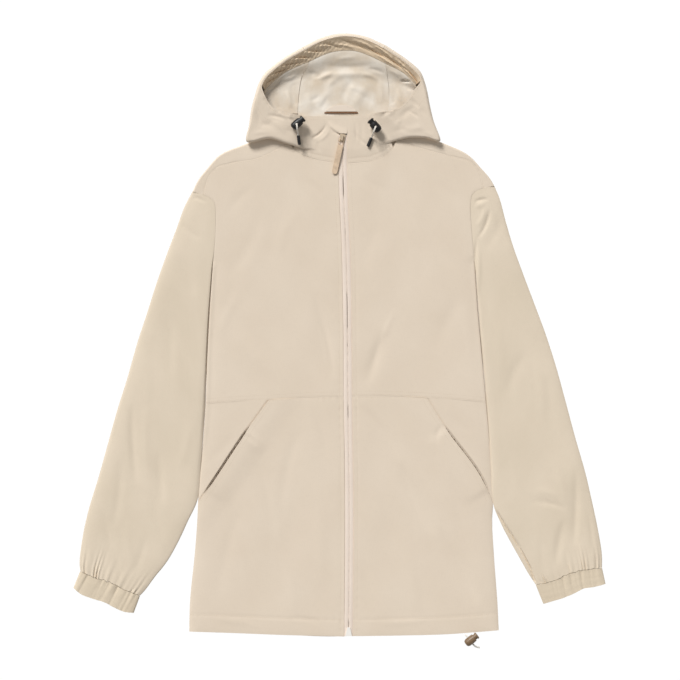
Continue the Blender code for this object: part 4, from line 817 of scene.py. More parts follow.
def front_lower(side, edge, slant, waist, hem, zip_side):
    """A lower front, its pocket edge cut on a slant and standing on the pocket's side piece."""
    below = [row for row in edge[::-1] if row[1] <= slant[-1][1]]
    side_line = joined(along(slant, even(steps_for(slant, FINE))), along(below, even(steps_for(below, FINE))))
    down = travelled(side_line)
    across = even(steps_for(hem, FINE))
    zip_line = [(x, max(y, hem[-1][1])) for x, y in ZIP_LINE if y <= -100][::-1]
    centre = shifted(along(zip_line, down), zip_side * ZIP_HALF, 0)
    plan = patch(side_line, centre, along(waist[2:], across), along(hem, across), across, down)
    plan[..., 1] -= SEAM / 2 * (1 - down)[:, None]
    inward = inward_of(slant, zip_side)
    inset = (plan - slant[0]) @ inward
    mouth = mouth_share(plan, slant)
    past = past_slant(plan, slant, zip_side)
    bow = (0.3 + MOUTH_BOW[side] * mouth) * ease(past / 1.5 + 1) * np.exp(-((np.maximum(past, 0) / 9) ** 2))
    plan = plan + inward * bow[..., None]
    lift = POCKET_LIFT * (1 - ease((inset - POCKET_UNDERLAP) / POCKET_BLEND))
    lift = lift * (0.5 + 0.5 * ease(mouth * 1.5))
    x, y = plan[..., 0], plan[..., 1]
    gap, _ = off_line(x, y, HEM_LEFT + HEM_RIGHT[::-1])
    fold = HEM_FOLD_RISE * ease((HEM_STITCH - abs(gap)) / 3)
    height = body_top(x, y) + lift + front_relief(x, y) + fold
    cloth("front_lower_cloth_" + side, "front_lower_" + side, with_height(plan, height), "shell")


def pocket_side(side, edge, slant, waist, zip_side):
    """The piece seen beside a slanted pocket edge, which it passes under."""
    under = inward_of(slant, zip_side) * POCKET_UNDERLAP
    start = np.add(slant[0], (under[0], 0))
    end = np.add(slant[-1], under)
    foot = (edge[3][0], slant[-1][1] - POCKET_UNDERLAP)
    down = even(steps_for(slant, FINE))
    outer = [row for row in edge[::-1] if foot[1] < row[1] <= waist[0][1]] + [foot]
    inner = np.vstack([start, np.add(slant[1:-1], under), end])
    across = 1 - (1 - even(56)) ** 1.5
    plan = patch(along(outer, down), along(inner, down), along(np.vstack([waist[:3], start]), across),
                 along((foot, end), across), across, down)
    plan[..., 1] -= SEAM / 2 * (1 - down)[:, None]
    x, y = plan[..., 0], plan[..., 1]
    height = body_top(x, y) + folds_at(x, y, FRONT_CREASES) + swell(x, y, 0.05) - 0.1
    inset = past_slant(plan, slant, zip_side)
    mouth = mouth_share(plan, slant)
    height = height - (SLANT_DIP + MOUTH_DEPTH * mouth) * ease((inset + MOUTH_ROLL) / MOUTH_ROLL)
    height = np.maximum(height, 2 * WALL + 0.05)
    made = cloth("pocket_side_cloth_" + side, "pocket_side_" + side, with_height(plan, height), "shell")
    # The faces past the slant under the mouth take a dark brown look: painted shade in the pocket mouth.
    made.data.materials.append(LOOKS["pocket"])
    corners = (inset[:-1, :-1] + inset[1:, :-1] + inset[:-1, 1:] + inset[1:, 1:]) / 4
    inside = (corners > 0.2) & (mouth[:-1, :-1] > 0.05)
    made.data.polygons.foreach_set("material_index", inside.ravel().astype(np.int32))


def flat_tube(top_plan, top_height, bottom_height, outer_edge, inner_edge):
    """Rings for a flattened tube: along its face, then back along its underside."""
    top = with_height(top_plan, top_height)
    under = with_height(top_plan, bottom_height)[:, ::-1]
    top[:, 0, 2] = outer_edge
    top[:, -1, 2] = inner_edge
    return np.concatenate([top, under[:, 1:-1]], axis=1)


def wrinkled(line, across, side):
    """The seam between a sleeve and its cuff, drawn up unevenly by the elastic."""
    turn = 0.0 if side == "left" else 2.0
    wave = np.sin(across * 41 + turn + 1.8 * np.sin(across * 13)) + 0.6 * np.sin(across * 83 + 2 * turn)
    plan = along(line, across)
    plan[:, 1] += CUFF_SEAM_WAVE * wave * np.sin(math.pi * across)
    return plan


def sleeve(side, table, armhole, cuff_line, shift):
    outer, inner = (between(np.vstack([shifted(end, *shift), [row[k:k + 2] for row in table]]), SLEEVE_PARTS)
                    for end, k in ((armhole[:1], 0), (armhole[-1:], 2)))
    beside = ease((inner[:, 1] - VALLEY_FOOT) / 20)
    inner[:, 0] += np.sign(-inner[0, 0]) * VALLEY_CLOSE * beside
    thick = between(np.r_[CROWN_TOP, [row[4] for row in table]][:, None], SLEEVE_PARTS)
    up = travelled(outer)
    cap = shifted(between(armhole, CAP_PARTS), *shift)
    across = travelled(cap)
    plan = patch(outer, inner, cap, wrinkled(cuff_line, across, side), across, up)
    steps = np.linalg.norm(np.diff(plan, axis=1), axis=2)
    reach = np.concatenate([np.zeros((len(up), 1)), np.cumsum(steps, axis=1)], axis=1)
    edge = np.minimum(reach, reach[:, -1:] - reach)
    x, y = plan[..., 0], plan[..., 1]
    top = thick / 2 * (1 + rounding(edge, SLEEVE_TOP_ROUND))
    relief = folds_at(x, y, SLEEVE_FOLDS) + CREASE_GAIN * folds_at(x, y, SLEEVE_CREASES) + swell(x, y, 0.28)
    down = (1 - up)[:, None] * SLEEVE_LENGTH
    gathers = np.sin(2 * math.pi * across * CUFF_GATHERS + 2.1 * np.sin(across * 23))
    gathers *= 0.6 + 0.4 * np.sin(across * 31)
    relief = relief + CUFF_GATHER * gathers[None] * np.exp(-((down / CUFF_GATHER_REACH) ** 2))
    top = top + relief * ease(edge / 9)
    from_inner = reach[:, -1:] - reach
    depth, roll = VALLEYS[side]
    deep = beside * (0.35 + 0.65 * ease((inner[:, 1] - VALLEY_FAINT) / 60))
    low = thick / 2 - (thick / 2 - depth) * deep[:, None]
    top = top - (thick / 2 - depth) * deep[:, None] * (1 - ease(from_inner / roll))
    if side == "right":
        first, last = UNDER_LAYER
        strip = UNDER_STRIP * ease((first - inner[:, 1]) / 70) * ease((inner[:, 1] - last) / 30)
        shown = ease(strip / 1.5)[:, None]
        past = from_inner - 1.5 - strip[:, None]
        groove = UNDER_GROOVE * np.exp(-((past / 1.3) ** 2))
        top = top - shown * (UNDER_DROP * (1 - ease(past / 1.5)) + groove)
        top = np.maximum(top, WALL + 0.05)
    under = np.minimum(thick / 2 * (1 - rounding(edge, SLEEVE_BOTTOM_ROUND)), top - 0.2)
    rings = flat_tube(plan, top, under, thick[:, 0] / 2, np.minimum(low[:, 0], top[:, -1]))
    cloth("sleeve_cloth_" + side, "sleeve_" + side, rings, "sleeve",
          up_column=len(across) // 2, closed=True)


def cuff(side, top_line, end_line, shift):
    """An elastic cuff: a flattened tube whose face stands in pleats and finer gathers."""
    across = even(CUFF_PLEATS * 16 + 1)
    up = even(17)
    start = wrinkled(shifted(top_line, *shift), across, side)
    end = along(end_line, across)
    plan = patch((1 - up[:, None]) * start[0] + up[:, None] * end[0],
                 (1 - up[:, None]) * start[-1] + up[:, None] * end[-1], start, end, across, up)
    width = np.linalg.norm(plan[:, -1] - plan[:, 0], axis=1)[:, None]
    edge = np.minimum(across, 1 - across) * width
    lean = across[None] + CUFF_LEAN[side] * (up[:, None] - 0.5)
    pleats = np.sin(lean * CUFF_PLEATS * 2 * math.pi) * CUFF_PLEAT_HEIGHT
    pleats *= 0.4 + 0.3 * np.sin(lean * 13 + 1)
    pleats += 0.25 * np.sin(lean * 57 + 2.6 * np.sin(lean * 15) + 1.5 * up[:, None])
    for place, depth, width in CUFF_DEEP[side]:
        pleats -= depth * np.exp(-(((lean - place) / width) ** 2))
    pleats = pleats * (0.8 + 0.3 * np.sin(up * 5 + 1))[:, None]
    half = CUFF_THICKNESS / 2
    band = 0.5 * (np.cos(2 * math.pi * up * 3) - 1)[:, None] * CUFF_ROW_DIP
    top = half * (1 + rounding(edge, 10)) + (pleats + band) * ease(edge / 8)
    under = half * (1 - rounding(edge, SLEEVE_BOTTOM_ROUND))
    rings = flat_tube(plan, top, under, half, half)
    cloth("cuff_cloth_" + side, "cuff_" + side, rings, "cuff",
          up_column=len(across) // 2, closed=True)


def hood_section(row, floor_steps, turn_steps, flap_steps):
    """A hood panel across: along the floor, round the outer fold and back to the brim."""
    seam, fold, edge = row[:3], row[3:6], row[6:9]
    out = (fold - seam)[:2] / np.linalg.norm((fold - seam)[:2])
    back_way = (fold - edge)[:2] / np.linalg.norm((fold - edge)[:2])
    radius = min(HOOD_FOLD_RADIUS, 0.9 * np.linalg.norm((fold - edge)[:2]),
                 0.8 * np.linalg.norm((fold - seam)[:2]))
    low, high = fold[2], edge[2]
    middle, half = (low + high) / 2, (high - low) / 2
    base = np.r_[fold[:2] - radius * out, low]
    crown = np.r_[fold[:2] - radius * back_way, high]
    line = [seam + (base - seam) * share for share in np.linspace(0, 1, floor_steps)]
    for angle in np.linspace(-math.pi / 2, math.pi / 2, turn_steps)[1:-1]:
        way = out if angle < 0 else back_way
        line.append(np.r_[fold[:2] - radius * (1 - math.cos(angle)) * way, middle + half * math.sin(angle)])
    line += [crown + (edge - crown) * share for share in np.linspace(0, 1, flap_steps)]
    return np.array(line)


def hood_panel(name, table, per_gap, sewn=None):
    """A panel of the hood; its sewn end, where it has one, runs on into the stand below it."""
    rows = between(table, per_gap)
    rows[:, [2, 5]] = np.maximum(rows[:, [2, 5]], 0)
    grid = np.stack([hood_section(row, 7, 11, FLAP_COLUMNS) for row in rows])
    weight = np.zeros(grid.shape[1])
    weight[-FLAP_COLUMNS:] = ease(np.linspace(0.15, 1.6, FLAP_COLUMNS))
    weight[-FLAP_COLUMNS - 4: -FLAP_COLUMNS] = (0, 0.03, 0.07, 0.12)
    x, y = grid[..., 0], grid[..., 1]
    relief = HOOD_GAIN * folds_at(x, y, HOOD_CREASES) + swell(x, y, 0.4) + puckers(x, y, HOOD_SEAMS)
    if sewn is not None:
        steps = np.arange(len(rows)) if sewn == "first" else np.arange(len(rows))[::-1]
        sink = (1 - ease(steps / (per_gap * SEWN_ROWS)))[:, None]
        flap = np.arange(grid.shape[1]) >= grid.shape[1] - FLAP_COLUMNS - 2
        stand = collar_top(x, y) + np.where(flap, 0.25, -1.3)[None]
        grid[..., 2] += (stand - grid[..., 2]) * sink
    grid[..., 2] += relief * weight[None]
    cloth(name + "_cloth", name, grid, "shell", up=-1)
    return grid


def hood():
    """The hood: two sides and a centre, their lining inside, and the facing round the brim."""
    left = hood_panel("hood_side_left", HOOD_LEFT, 8, "first")
    centre = hood_panel("hood_centre", HOOD_CENTRE, 12)
    right = hood_panel("hood_side_right", HOOD_RIGHT, 8, "last")
    brim = joined(left[8 * FACING_FROM_ROW:, -1], centre[:, -1], right[: 8 * FACING_TO_ROW + 1, -1])
    facing(brim)
    inner = along(FACING_INNER, even(161))
    inner[:, 1] -= SEAM + 0.3
    left_part = inner[inner[:, 0] < LINING_SEAM_LEFT[-1][0]]
    right_part = inner[inner[:, 0] > LINING_SEAM_RIGHT[-1][0]]
    middle = inner[(inner[:, 0] > LINING_SEAM_LEFT[-1][0]) & (inner[:, 0] < LINING_SEAM_RIGHT[-1][0])]
    seam_left, seam_right = np.array(LINING_SEAM_LEFT, float), np.array(LINING_SEAM_RIGHT, float)
    half = (SEAM / 2, 0)
    below = np.array((0, -LINING_BELOW))
    lining("hood_lining_centre", seam_left + half, seam_right - half,
           (seam_left[0] + half + below, seam_right[0] - half + below),
           np.vstack([seam_left[-1] + half, middle, seam_right[-1] - half]), even(64))
    lining("hood_lining_left", LINING_SIDE_LEFT, seam_left - half,
           np.vstack([LINING_FOOT_LEFT[:-1], seam_left[0] - half]),
           np.vstack([LINING_SIDE_LEFT[-1], left_part[1:], seam_left[-1] - half]), even(34))
    lining("hood_lining_right", seam_right + half, LINING_SIDE_RIGHT,
           np.vstack([seam_right[0] + half, LINING_FOOT_RIGHT[1:]]),
           np.vstack([seam_right[-1] + half, right_part[:-1], LINING_SIDE_RIGHT[-1]]), even(26))


def lining(name, left, right, foot, top, across):
    up = even(46)
    plan = patch(along(left, up), along(right, up), along(foot, across), along(top, across), across, up)
    rise = ease((up - LINING_RISE_FROM) / (1 - LINING_RISE_FROM))
    height = LINING_TOP + (FACING_INNER_TOP - LINING_TOP) * rise
    x, y = plan[..., 0], plan[..., 1]
    relief = folds_at(x, y, LINING_FOLDS) + folds_at(x, y, LINING_CREASES) + swell(x, y, 0.22)
    height = height[:, None] + LINING_GAIN * relief * (ease(8 * (1 - up)) * ease(6 * up + 0.2))[:, None]
    height = np.maximum(height, LINING_LOWEST)
    cloth(name + "_cloth", name, with_height(plan, height), "lining")


def facing(brim):
    """The band inside the brim, slanting down to the lining, with gathers along it."""
    at = even(FACING_COLUMNS)
    outer = along(brim, at)
    inner = np.c_[along(FACING_INNER, at), np.full(len(at), FACING_INNER_TOP)]
    across = (inner - outer)[:, :2]
    across /= np.linalg.norm(across, axis=1)[:, None]
    outer[:, :2] += across * FACING_SET_IN
    outer[:, 2] -= GAP
    share = even(FACING_ROWS)
    grid = outer[:, None] + (inner - outer)[:, None] * share[None, :, None]
    length = np.linalg.norm(np.diff(outer, axis=0), axis=1).sum()
    s = at[:, None] * length + 0 * share[None]
    d = share[None] * FACING_WIDTH + 0 * at[:, None]
    relief = FACING_GAIN * folds_at(s, d, FACING_CREASES)
    for lean, pitch, waver, period, height, middle, reach in FACING_GATHERS:
        gathers = height * np.sin((s + lean * d) / pitch + waver * np.sin(s / period))
        relief += gathers * np.exp(-(((s - middle) / reach) ** 2)) * np.sin(math.pi * share)[None] ** 0.5
    grid[..., 2] += relief * ease(6 * share)[None] * ease(5 * (1.05 - share))[None]
    grid[..., 2] -= FACING_SAG * (1 - abs(2 * share - 1))[None]
    cloth("hood_facing_cloth", "hood_facing", grid, "facing",
          turn=0.8)


def collar(side, neck, edge, zip_edge, top):
    """A front of the stand, from the neck seam up to its own top edge."""
    foot = shifted(split(neck[1:], STAND_PARTS), 0, SEAM)
    centre = split(zip_edge, STAND_ROWS)
    across, up = travelled(foot), even(len(centre))
    plan = patch(along(edge, up), centre, foot, along(top, across), across, up)
    x, y = plan[..., 0], plan[..., 1]
    height = collar_top(x, y)
    if side == "left":
        height = height + turned_corner(x, y)
    relief = folds_at(x, y, COLLAR_CREASES) + puckers(x, y, COLLAR_SEAMS)
    height = height + relief * ease(6 * up + 0.3)[:, None]
    cloth("collar_cloth_" + side, "collar_" + side, with_height(plan, height), "shell")


def zip_tape(side, zip_side):
    neck_y = NECK_LEFT[-1][1]
    rows = np.array([row for row in ZIP_LINE if row[1] <= neck_y], float)
    rows[0, 1] += 1
    centre = joined(along(rows, even(240)), along((rows[-1], (ZIP_LINE[-1][0], TAPE_TOP)), even(16)))
    half_gap = np.full(len(centre), SEAM / 2)
    for low, high, gape in ZIP_GAPES:
        half_gap += gape * ease((centre[:, 1] - low) / 6) * ease((high - centre[:, 1]) / 6)
    offsets = np.c_[np.tile(TAPE_ACROSS, (len(centre), 1)), half_gap]
    plan = np.dstack([centre[:, :1] + zip_side * offsets, centre[:, 1:] + 0 * offsets])
    x, y = plan[..., 0], plan[..., 1]
    top = np.where(y > neck_y, collar_top(x, y), body_top(x, y)) - WALL - TAPE_BELOW
    top = top + np.array(TAPE_SWELL)[None]
    cloth("zip_tape_cloth_" + side, "zip_tape_" + side, with_height(plan, top), "tape",
          wall=TAPE_WALL)


def neck_pieces():
    """The half-moon patch on the lining and the hanger loop below it."""
    top = LINING_TOP + GAP + TAPE_WALL
    across = even(33)
    foot = along(((PATCH_ARCH[0][0], LOOP_Y + 2), (PATCH_ARCH[-1][0], LOOP_Y + 2)), across)
    arch = along(PATCH_ARCH, across)
    ends = [along((foot[k], arch[k]), even(9)) for k in (0, -1)]
    plan = patch(*ends, foot, arch, across, even(9))
    x, y = plan[..., 0], plan[..., 1]
    cloth("neck_patch_cloth", "neck_patch", with_height(plan, top + folds_at(x, y, LINING_FOLDS)),
          "patch", wall=TAPE_WALL)
    share = np.linspace(-1, 1, 41)
    x = LOOP_ENDS_X[0] + (LOOP_ENDS_X[1] - LOOP_ENDS_X[0]) * (share + 1) / 2
    rise = top + LOOP_BOW * (1 - share**2)
    rows = [np.c_[x, np.full(41, LOOP_Y + side * LOOP_WIDTH / 2), rise - 0.3 * abs(side)]
            for side in (-1, -0.5, 0, 0.5, 1)]
    # The hanger loop is real, but its dark brown paints the shadow line under the collar's top edge.
    cloth("hanger_loop_cloth", "hanger_loop", np.stack(rows, axis=1), "loop_shadow_brown")


def look(name, base, roughness, **shader_values):
    """A node material whose Principled sockets hold the plain values."""
    made = bpy.data.materials.new(name)
    made.use_nodes = True
    nodes = made.node_tree.nodes
    shader = nodes["Principled BSDF"]
    shader.inputs["Base Color"].default_value = (*base, 1)
    shader.inputs["Roughness"].default_value = roughness
    for socket, value in shader_values.items():
        shader.inputs[socket.replace("_", " ")].default_value = value
    made.diffuse_color = (*base, 1)
    return made, nodes, made.node_tree.links, shader


def noise(nodes, links, coordinates, scale, detail, stretch=(1, 1, 1)):
    """Noise over these coordinates, drawn out by a stretch."""
    mapping = nodes.new("ShaderNodeMapping")
    mapping.inputs["Scale"].default_value = stretch
    links.new(coordinates, mapping.inputs["Vector"])
    made = nodes.new("ShaderNodeTexNoise")
    made.inputs["Scale"].default_value = scale
    made.inputs["Detail"].default_value = detail
    links.new(mapping.outputs["Vector"], made.inputs["Vector"])
    return made.outputs["Fac"]


def ramp(nodes, links, value, low, high, low_at=0.3, high_at=0.7):
    made = nodes.new("ShaderNodeValToRGB")
    made.color_ramp.elements[0].position = low_at
    made.color_ramp.elements[0].color = (*low, 1)
    made.color_ramp.elements[1].position = high_at
    made.color_ramp.elements[1].color = (*high, 1)
    links.new(value, made.inputs["Fac"])
    return made.outputs["Color"]


def bumped(nodes, links, shader, height, strength, distance):
    """Gives a shader a relief of this height."""
    relief = nodes.new("ShaderNodeBump")
    relief.inputs["Strength"].default_value = strength
    relief.inputs["Distance"].default_value = distance
    links.new(height, relief.inputs["Height"])
    links.new(relief.outputs["Normal"], shader.inputs["Normal"])


def maths(nodes, links, operation, a, b):
    made = nodes.new("ShaderNodeMath")
    made.operation = operation
    for socket, value in zip(made.inputs, (a, b)):
        if isinstance(value, (int, float)):
            socket.default_value = value
        else:
            links.new(value, socket)
    return made.outputs[0]


def multiplied(nodes, links, a, b):
    made = nodes.new("ShaderNodeMix")
    made.data_type = "RGBA"
    made.blend_type = "MULTIPLY"
    made.inputs["Factor"].default_value = 1.0
    links.new(a, made.inputs["A"])
    links.new(b, made.inputs["B"])
    return made.outputs["Result"]


def woven(name, low, high, thread, bump, roughness, sheen, slubs=0.2, mottle=9.0):
    """Plain-woven cloth: warp and weft ribs, uneven threads, slubs and a faint mottle, strong on the lining,
    where it paints patchy shade.
    """
    made, nodes, links, shader = look(name, high, roughness, Sheen_Weight=sheen, Sheen_Roughness=0.5,
                                      Specular_IOR_Level=0.25)
    weave = nodes.new("ShaderNodeUVMap")
    weave.uv_map = "weave"
    ribs = []
    for direction in ("X", "Y"):
        wave = nodes.new("ShaderNodeTexWave")
        wave.bands_direction = direction
        wave.inputs["Scale"].default_value = 0.314 / (thread * MM)
        wave.inputs["Distortion"].default_value = 0.6
        wave.inputs["Detail"].default_value = 1.0
        wave.inputs["Detail Scale"].default_value = 0.4
        links.new(weave.outputs["UV"], wave.inputs["Vector"])
        ribs.append(wave.outputs["Fac"])
    cross = maths(nodes, links, "MULTIPLY", ribs[0], ribs[1])
    warp = noise(nodes, links, weave.outputs["UV"], 1500, 2, (1, 0.06, 1))
    weft = noise(nodes, links, weave.outputs["UV"], 1500, 2, (0.06, 1, 1))
    threads = maths(nodes, links, "ADD", warp, weft)
    patchy = noise(nodes, links, weave.outputs["UV"], mottle, 4)
    body = ramp(nodes, links, patchy, low, high)
    thread_tone = ramp(nodes, links, threads, (1 - 0.09 * slubs,) * 3, (1 + 0.05 * slubs,) * 3, 0.8, 1.25)
    links.new(multiplied(nodes, links, body, thread_tone), shader.inputs["Base Color"])
    height = maths(nodes, links, "ADD", cross, maths(nodes, links, "MULTIPLY", threads, 0.9 * slubs))
    bumped(nodes, links, shader, height, bump, 0.0002)
    return made


def moulded(name, base, roughness, grain=0.3, spread=0.12, metallic=0.0):
    """Moulded plastic, rubber or plated metal with a fine, uneven surface."""
    made, nodes, links, shader = look(name, base, roughness, Metallic=metallic)
    place = nodes.new("ShaderNodeTexCoord")
    fine = noise(nodes, links, place.outputs["Object"], 1400, 3)
    broad = noise(nodes, links, place.outputs["Object"], 160, 3)
    darker, lighter = ([min(1, c * share) for c in base] for share in (1 - spread, 1 + spread))
    tone = ramp(nodes, links, broad, darker, lighter)
    links.new(tone, shader.inputs["Base Color"])
    bumped(nodes, links, shader, fine, grain, 0.0001)
    return made


def braided(name, low, high):
    """Round braided cord: fine crossing yarns in both slants."""
    made, nodes, links, shader = look(name, high, 0.75, Sheen_Weight=0.15)
    place = nodes.new("ShaderNodeTexCoord")
    yarns = []
    for slant in (0.7, -0.7):
        mapping = nodes.new("ShaderNodeMapping")
        mapping.inputs["Rotation"].default_value = (slant, 0.4, slant)
        links.new(place.outputs["Object"], mapping.inputs["Vector"])
        wave = nodes.new("ShaderNodeTexWave")
        wave.inputs["Scale"].default_value = 420
        wave.inputs["Distortion"].default_value = 0.4
        links.new(mapping.outputs["Vector"], wave.inputs["Vector"])
        yarns.append(wave.outputs["Fac"])
    height = maths(nodes, links, "MAXIMUM", yarns[0], yarns[1])
    links.new(ramp(nodes, links, height, low, high, 0.2, 0.8), shader.inputs["Base Color"])
    bumped(nodes, links, shader, height, 0.7, 0.0003)
    return made


def border(grid, side, offset):
    """The line on a grid that runs beside one of its borders at this distance, in mm."""
    lines = grid if side in ("top", "bottom") else np.swapaxes(grid, 0, 1)
    if side in ("top", "right"):
        lines = lines[::-1]
    gone = np.concatenate([np.zeros((1, lines.shape[1])),
                           np.cumsum(np.linalg.norm(np.diff(lines, axis=0), axis=2), axis=0)])
    return np.array([[np.interp(offset, gone[:, j], lines[:, j, k]) for k in range(3)]
                     for j in range(lines.shape[1])])


def stitch_line(line, pitch=3.0, length=2.1, width=0.55, height=0.28):
    """Points and faces of one row of lockstitches lying on a line."""
    gone = np.r_[0, np.cumsum(np.linalg.norm(np.diff(line, axis=0), axis=1))]
    at = np.arange(pitch, gone[-1] - pitch, pitch)
    middle = np.stack([np.interp(at, gone, line[:, k]) for k in range(3)], axis=1)
    after = np.stack([np.interp(at + 0.5, gone, line[:, k]) for k in range(3)], axis=1)
    way = (after - middle) / np.linalg.norm(after - middle, axis=1)[:, None]
    side = np.stack([-way[:, 1], way[:, 0], np.zeros(len(way))], axis=1)
    rise = np.array((0, 0, 1.0))
    points = np.stack([middle - way * length / 2 - rise * 0.1, middle + way * length / 2 - rise * 0.1,
                       middle - side * width / 2 + rise * 0.05, middle + side * width / 2 + rise * 0.05,
                       middle + rise * height, middle - rise * 0.3], axis=1)
    faces = [(0, 2, 4), (2, 1, 4), (1, 3, 4), (3, 0, 4), (2, 0, 5), (1, 2, 5), (3, 1, 5), (0, 3, 5)]
    return points.reshape(-1, 3), [tuple(6 * i + k for k in face) for i in range(len(at)) for face in faces]


def joined_mesh(name, parts, material):
    """One riding piece from many small sets of points and faces."""
    points, faces, start = [], [], 0
    for some, their_faces in parts:
        points.append(some)
        faces += [tuple(start + k for k in face) for face in their_faces]
        start += len(some)
    mesh = bpy.data.meshes.new(name)
    mesh.from_pydata((np.vstack(points) * MM).tolist(), [], faces)
    mesh.materials.append(material)
    made = placed(name, mesh)
    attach(made, BODY)


def sewing():
    """Every row of stitches that shows, as one mesh for each region."""
    rows = []
    for side, yoke, slant in (("left", YOKE_LEFT, SLANT_LEFT), ("right", YOKE_RIGHT, SLANT_RIGHT)):
        upper, lower, stand = (GRIDS[piece + "_cloth_" + side]
                               for piece in ("front_upper", "front_lower", "collar"))
        columns = steps_for(yoke, FINE)
        pocket = lower[:steps_for(slant, FINE)]
        rows += [border(grid, edge, offset) for grid, edge, offset in (
            (upper, "bottom", 2.2), (upper, "bottom", 7.6), (lower, "bottom", 2.0),
            (upper[:, :columns], "top", 2.2), (upper[:, columns - 1:], "top", 2.2), (upper, "right", 6.0),
            (lower, "top", HEM_STITCH), (pocket, "left", 2.4), (pocket, "left", 8.4), (lower, "right", 6.0),
            (stand, "bottom", 2.2), (stand, "bottom", 8.0), (stand, "top", 5.0), (stand, "left", 5.0),
        )]
    joined_mesh("sewing_fronts", [stitch_line(row) for row in rows], LOOKS["thread"])
    hood_rows = [border(GRIDS[name + "_cloth"], "right", offset) for name, offset in (
        ("hood_side_left", 3.0), ("hood_side_left", 20.0), ("hood_side_right", 3.0),
        ("hood_side_right", 20.0), ("hood_side_left", 2.4), ("hood_side_right", 2.4), ("hood_centre", 2.4),
        ("hood_facing", 2.0),
    )]
    joined_mesh("sewing_hood", [stitch_line(row) for row in hood_rows], LOOKS["thread"])


def zip_teeth():
    """The coil that shows between the tapes: a small loop of it at each tooth, in turns left and right."""
    ring = np.array([(math.cos(a), math.sin(a)) for a in np.linspace(0, 2 * math.pi, 7)[:-1]])
    faces = [(k, (k + 1) % 6, 6 + (k + 1) % 6, 6 + k) for k in range(6)]
    faces += [tuple(range(5, -1, -1)), tuple(range(6, 12))]
    parts = []
    for side, name in ((-1, "zip_tape_cloth_left"), (1, "zip_tape_cloth_right")):
        line = GRIDS[name][:, -1]
        gone = np.r_[0, np.cumsum(np.linalg.norm(np.diff(line, axis=0), axis=1))]
        at = np.arange(TOOTH_PITCH * (1 + side / 4), gone[-1] - 2, TOOTH_PITCH)
        spots = np.stack([np.interp(at, gone, line[:, k]) for k in range(3)], axis=1)
        for spot in spots:
            tip = np.c_[np.full(6, -0.25 * side), 0.42 * ring[:, 0], 0.28 * ring[:, 1]]
            root = np.c_[np.full(6, 1.5 * side), 0.36 * ring[:, 0], 0.28 * ring[:, 1]]
            points = np.vstack([tip, root]) + spot + (0, 0, 0.02)
            parts.append((points, faces))
    joined_mesh("zip_coil", parts, LOOKS["coil"])


def cord(name, node, points):
    """A free cord on its solid's own route, in place of its node."""
    curve = bpy.data.curves.new(name, "CURVE")
    curve.dimensions = "3D"
    curve.bevel_depth = CORD_DIAMETER / 2 * MM
    curve.bevel_resolution = 6
    curve.use_fill_caps = True
    line = curve.splines.new("POLY")
    points = between(points, 3)
    line.points.add(len(points) - 1)
    for point, row in zip(line.points, points):
        point.co = (*(float(value) * MM for value in row), 1)
    curve.materials.append(LOOKS["cord"])
    made = placed(name, curve)
    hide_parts(node)
    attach(made, BODY)


def cords():
    for name, x, y, seat, _, end_x, end_y, end_z in LOCKS:
        way = np.array((end_x - x, end_y - y))
        way = way / np.linalg.norm(way)
        out, up = along(DRAWCORD_ROUTE, even(CORD_STEPS)).T
        fall = end_z - seat - DRAWCORD_ROUTE[-1][1]
        up = seat + up + fall * ease((out - CORD_FALLS_FROM) / (CORD_FALLS_TO - CORD_FALLS_FROM))
        points = np.c_[x + way[0] * out, y + way[1] * out, up]
        cord("drawcord_braid_" + name, "drawcord_" + name, points)
    cord("hem_cord_braid", "hem_cord", HEM_CORD_POINTS)


def dress_hardware():
    """Gives the solids that stay their moulded and plated looks."""
    kept = {
        "black": ("cord_lock_left", "cord_lock_right", "lock_button_left", "lock_button_right",
                  "cord_end_left", "cord_end_right"),
        "tan": ("cord_lock_hem", "lock_button_hem"),
        "pull": ("zip_pull",),
        "metal": ("zip_slider",),
        "pale": ("zip_box",),
    }
    for material, names in kept.items():
        for name in names:
            for slot in bpy.data.objects[name].material_slots:
                slot.material = LOOKS[material]


def linear(*rgb):
    """A colour read as 0 to 255 on a screen, as light."""
    return tuple((c / 255 / 12.92) if c <= 10 else ((c / 255 + 0.055) / 1.055) ** 2.4 for c in rgb)


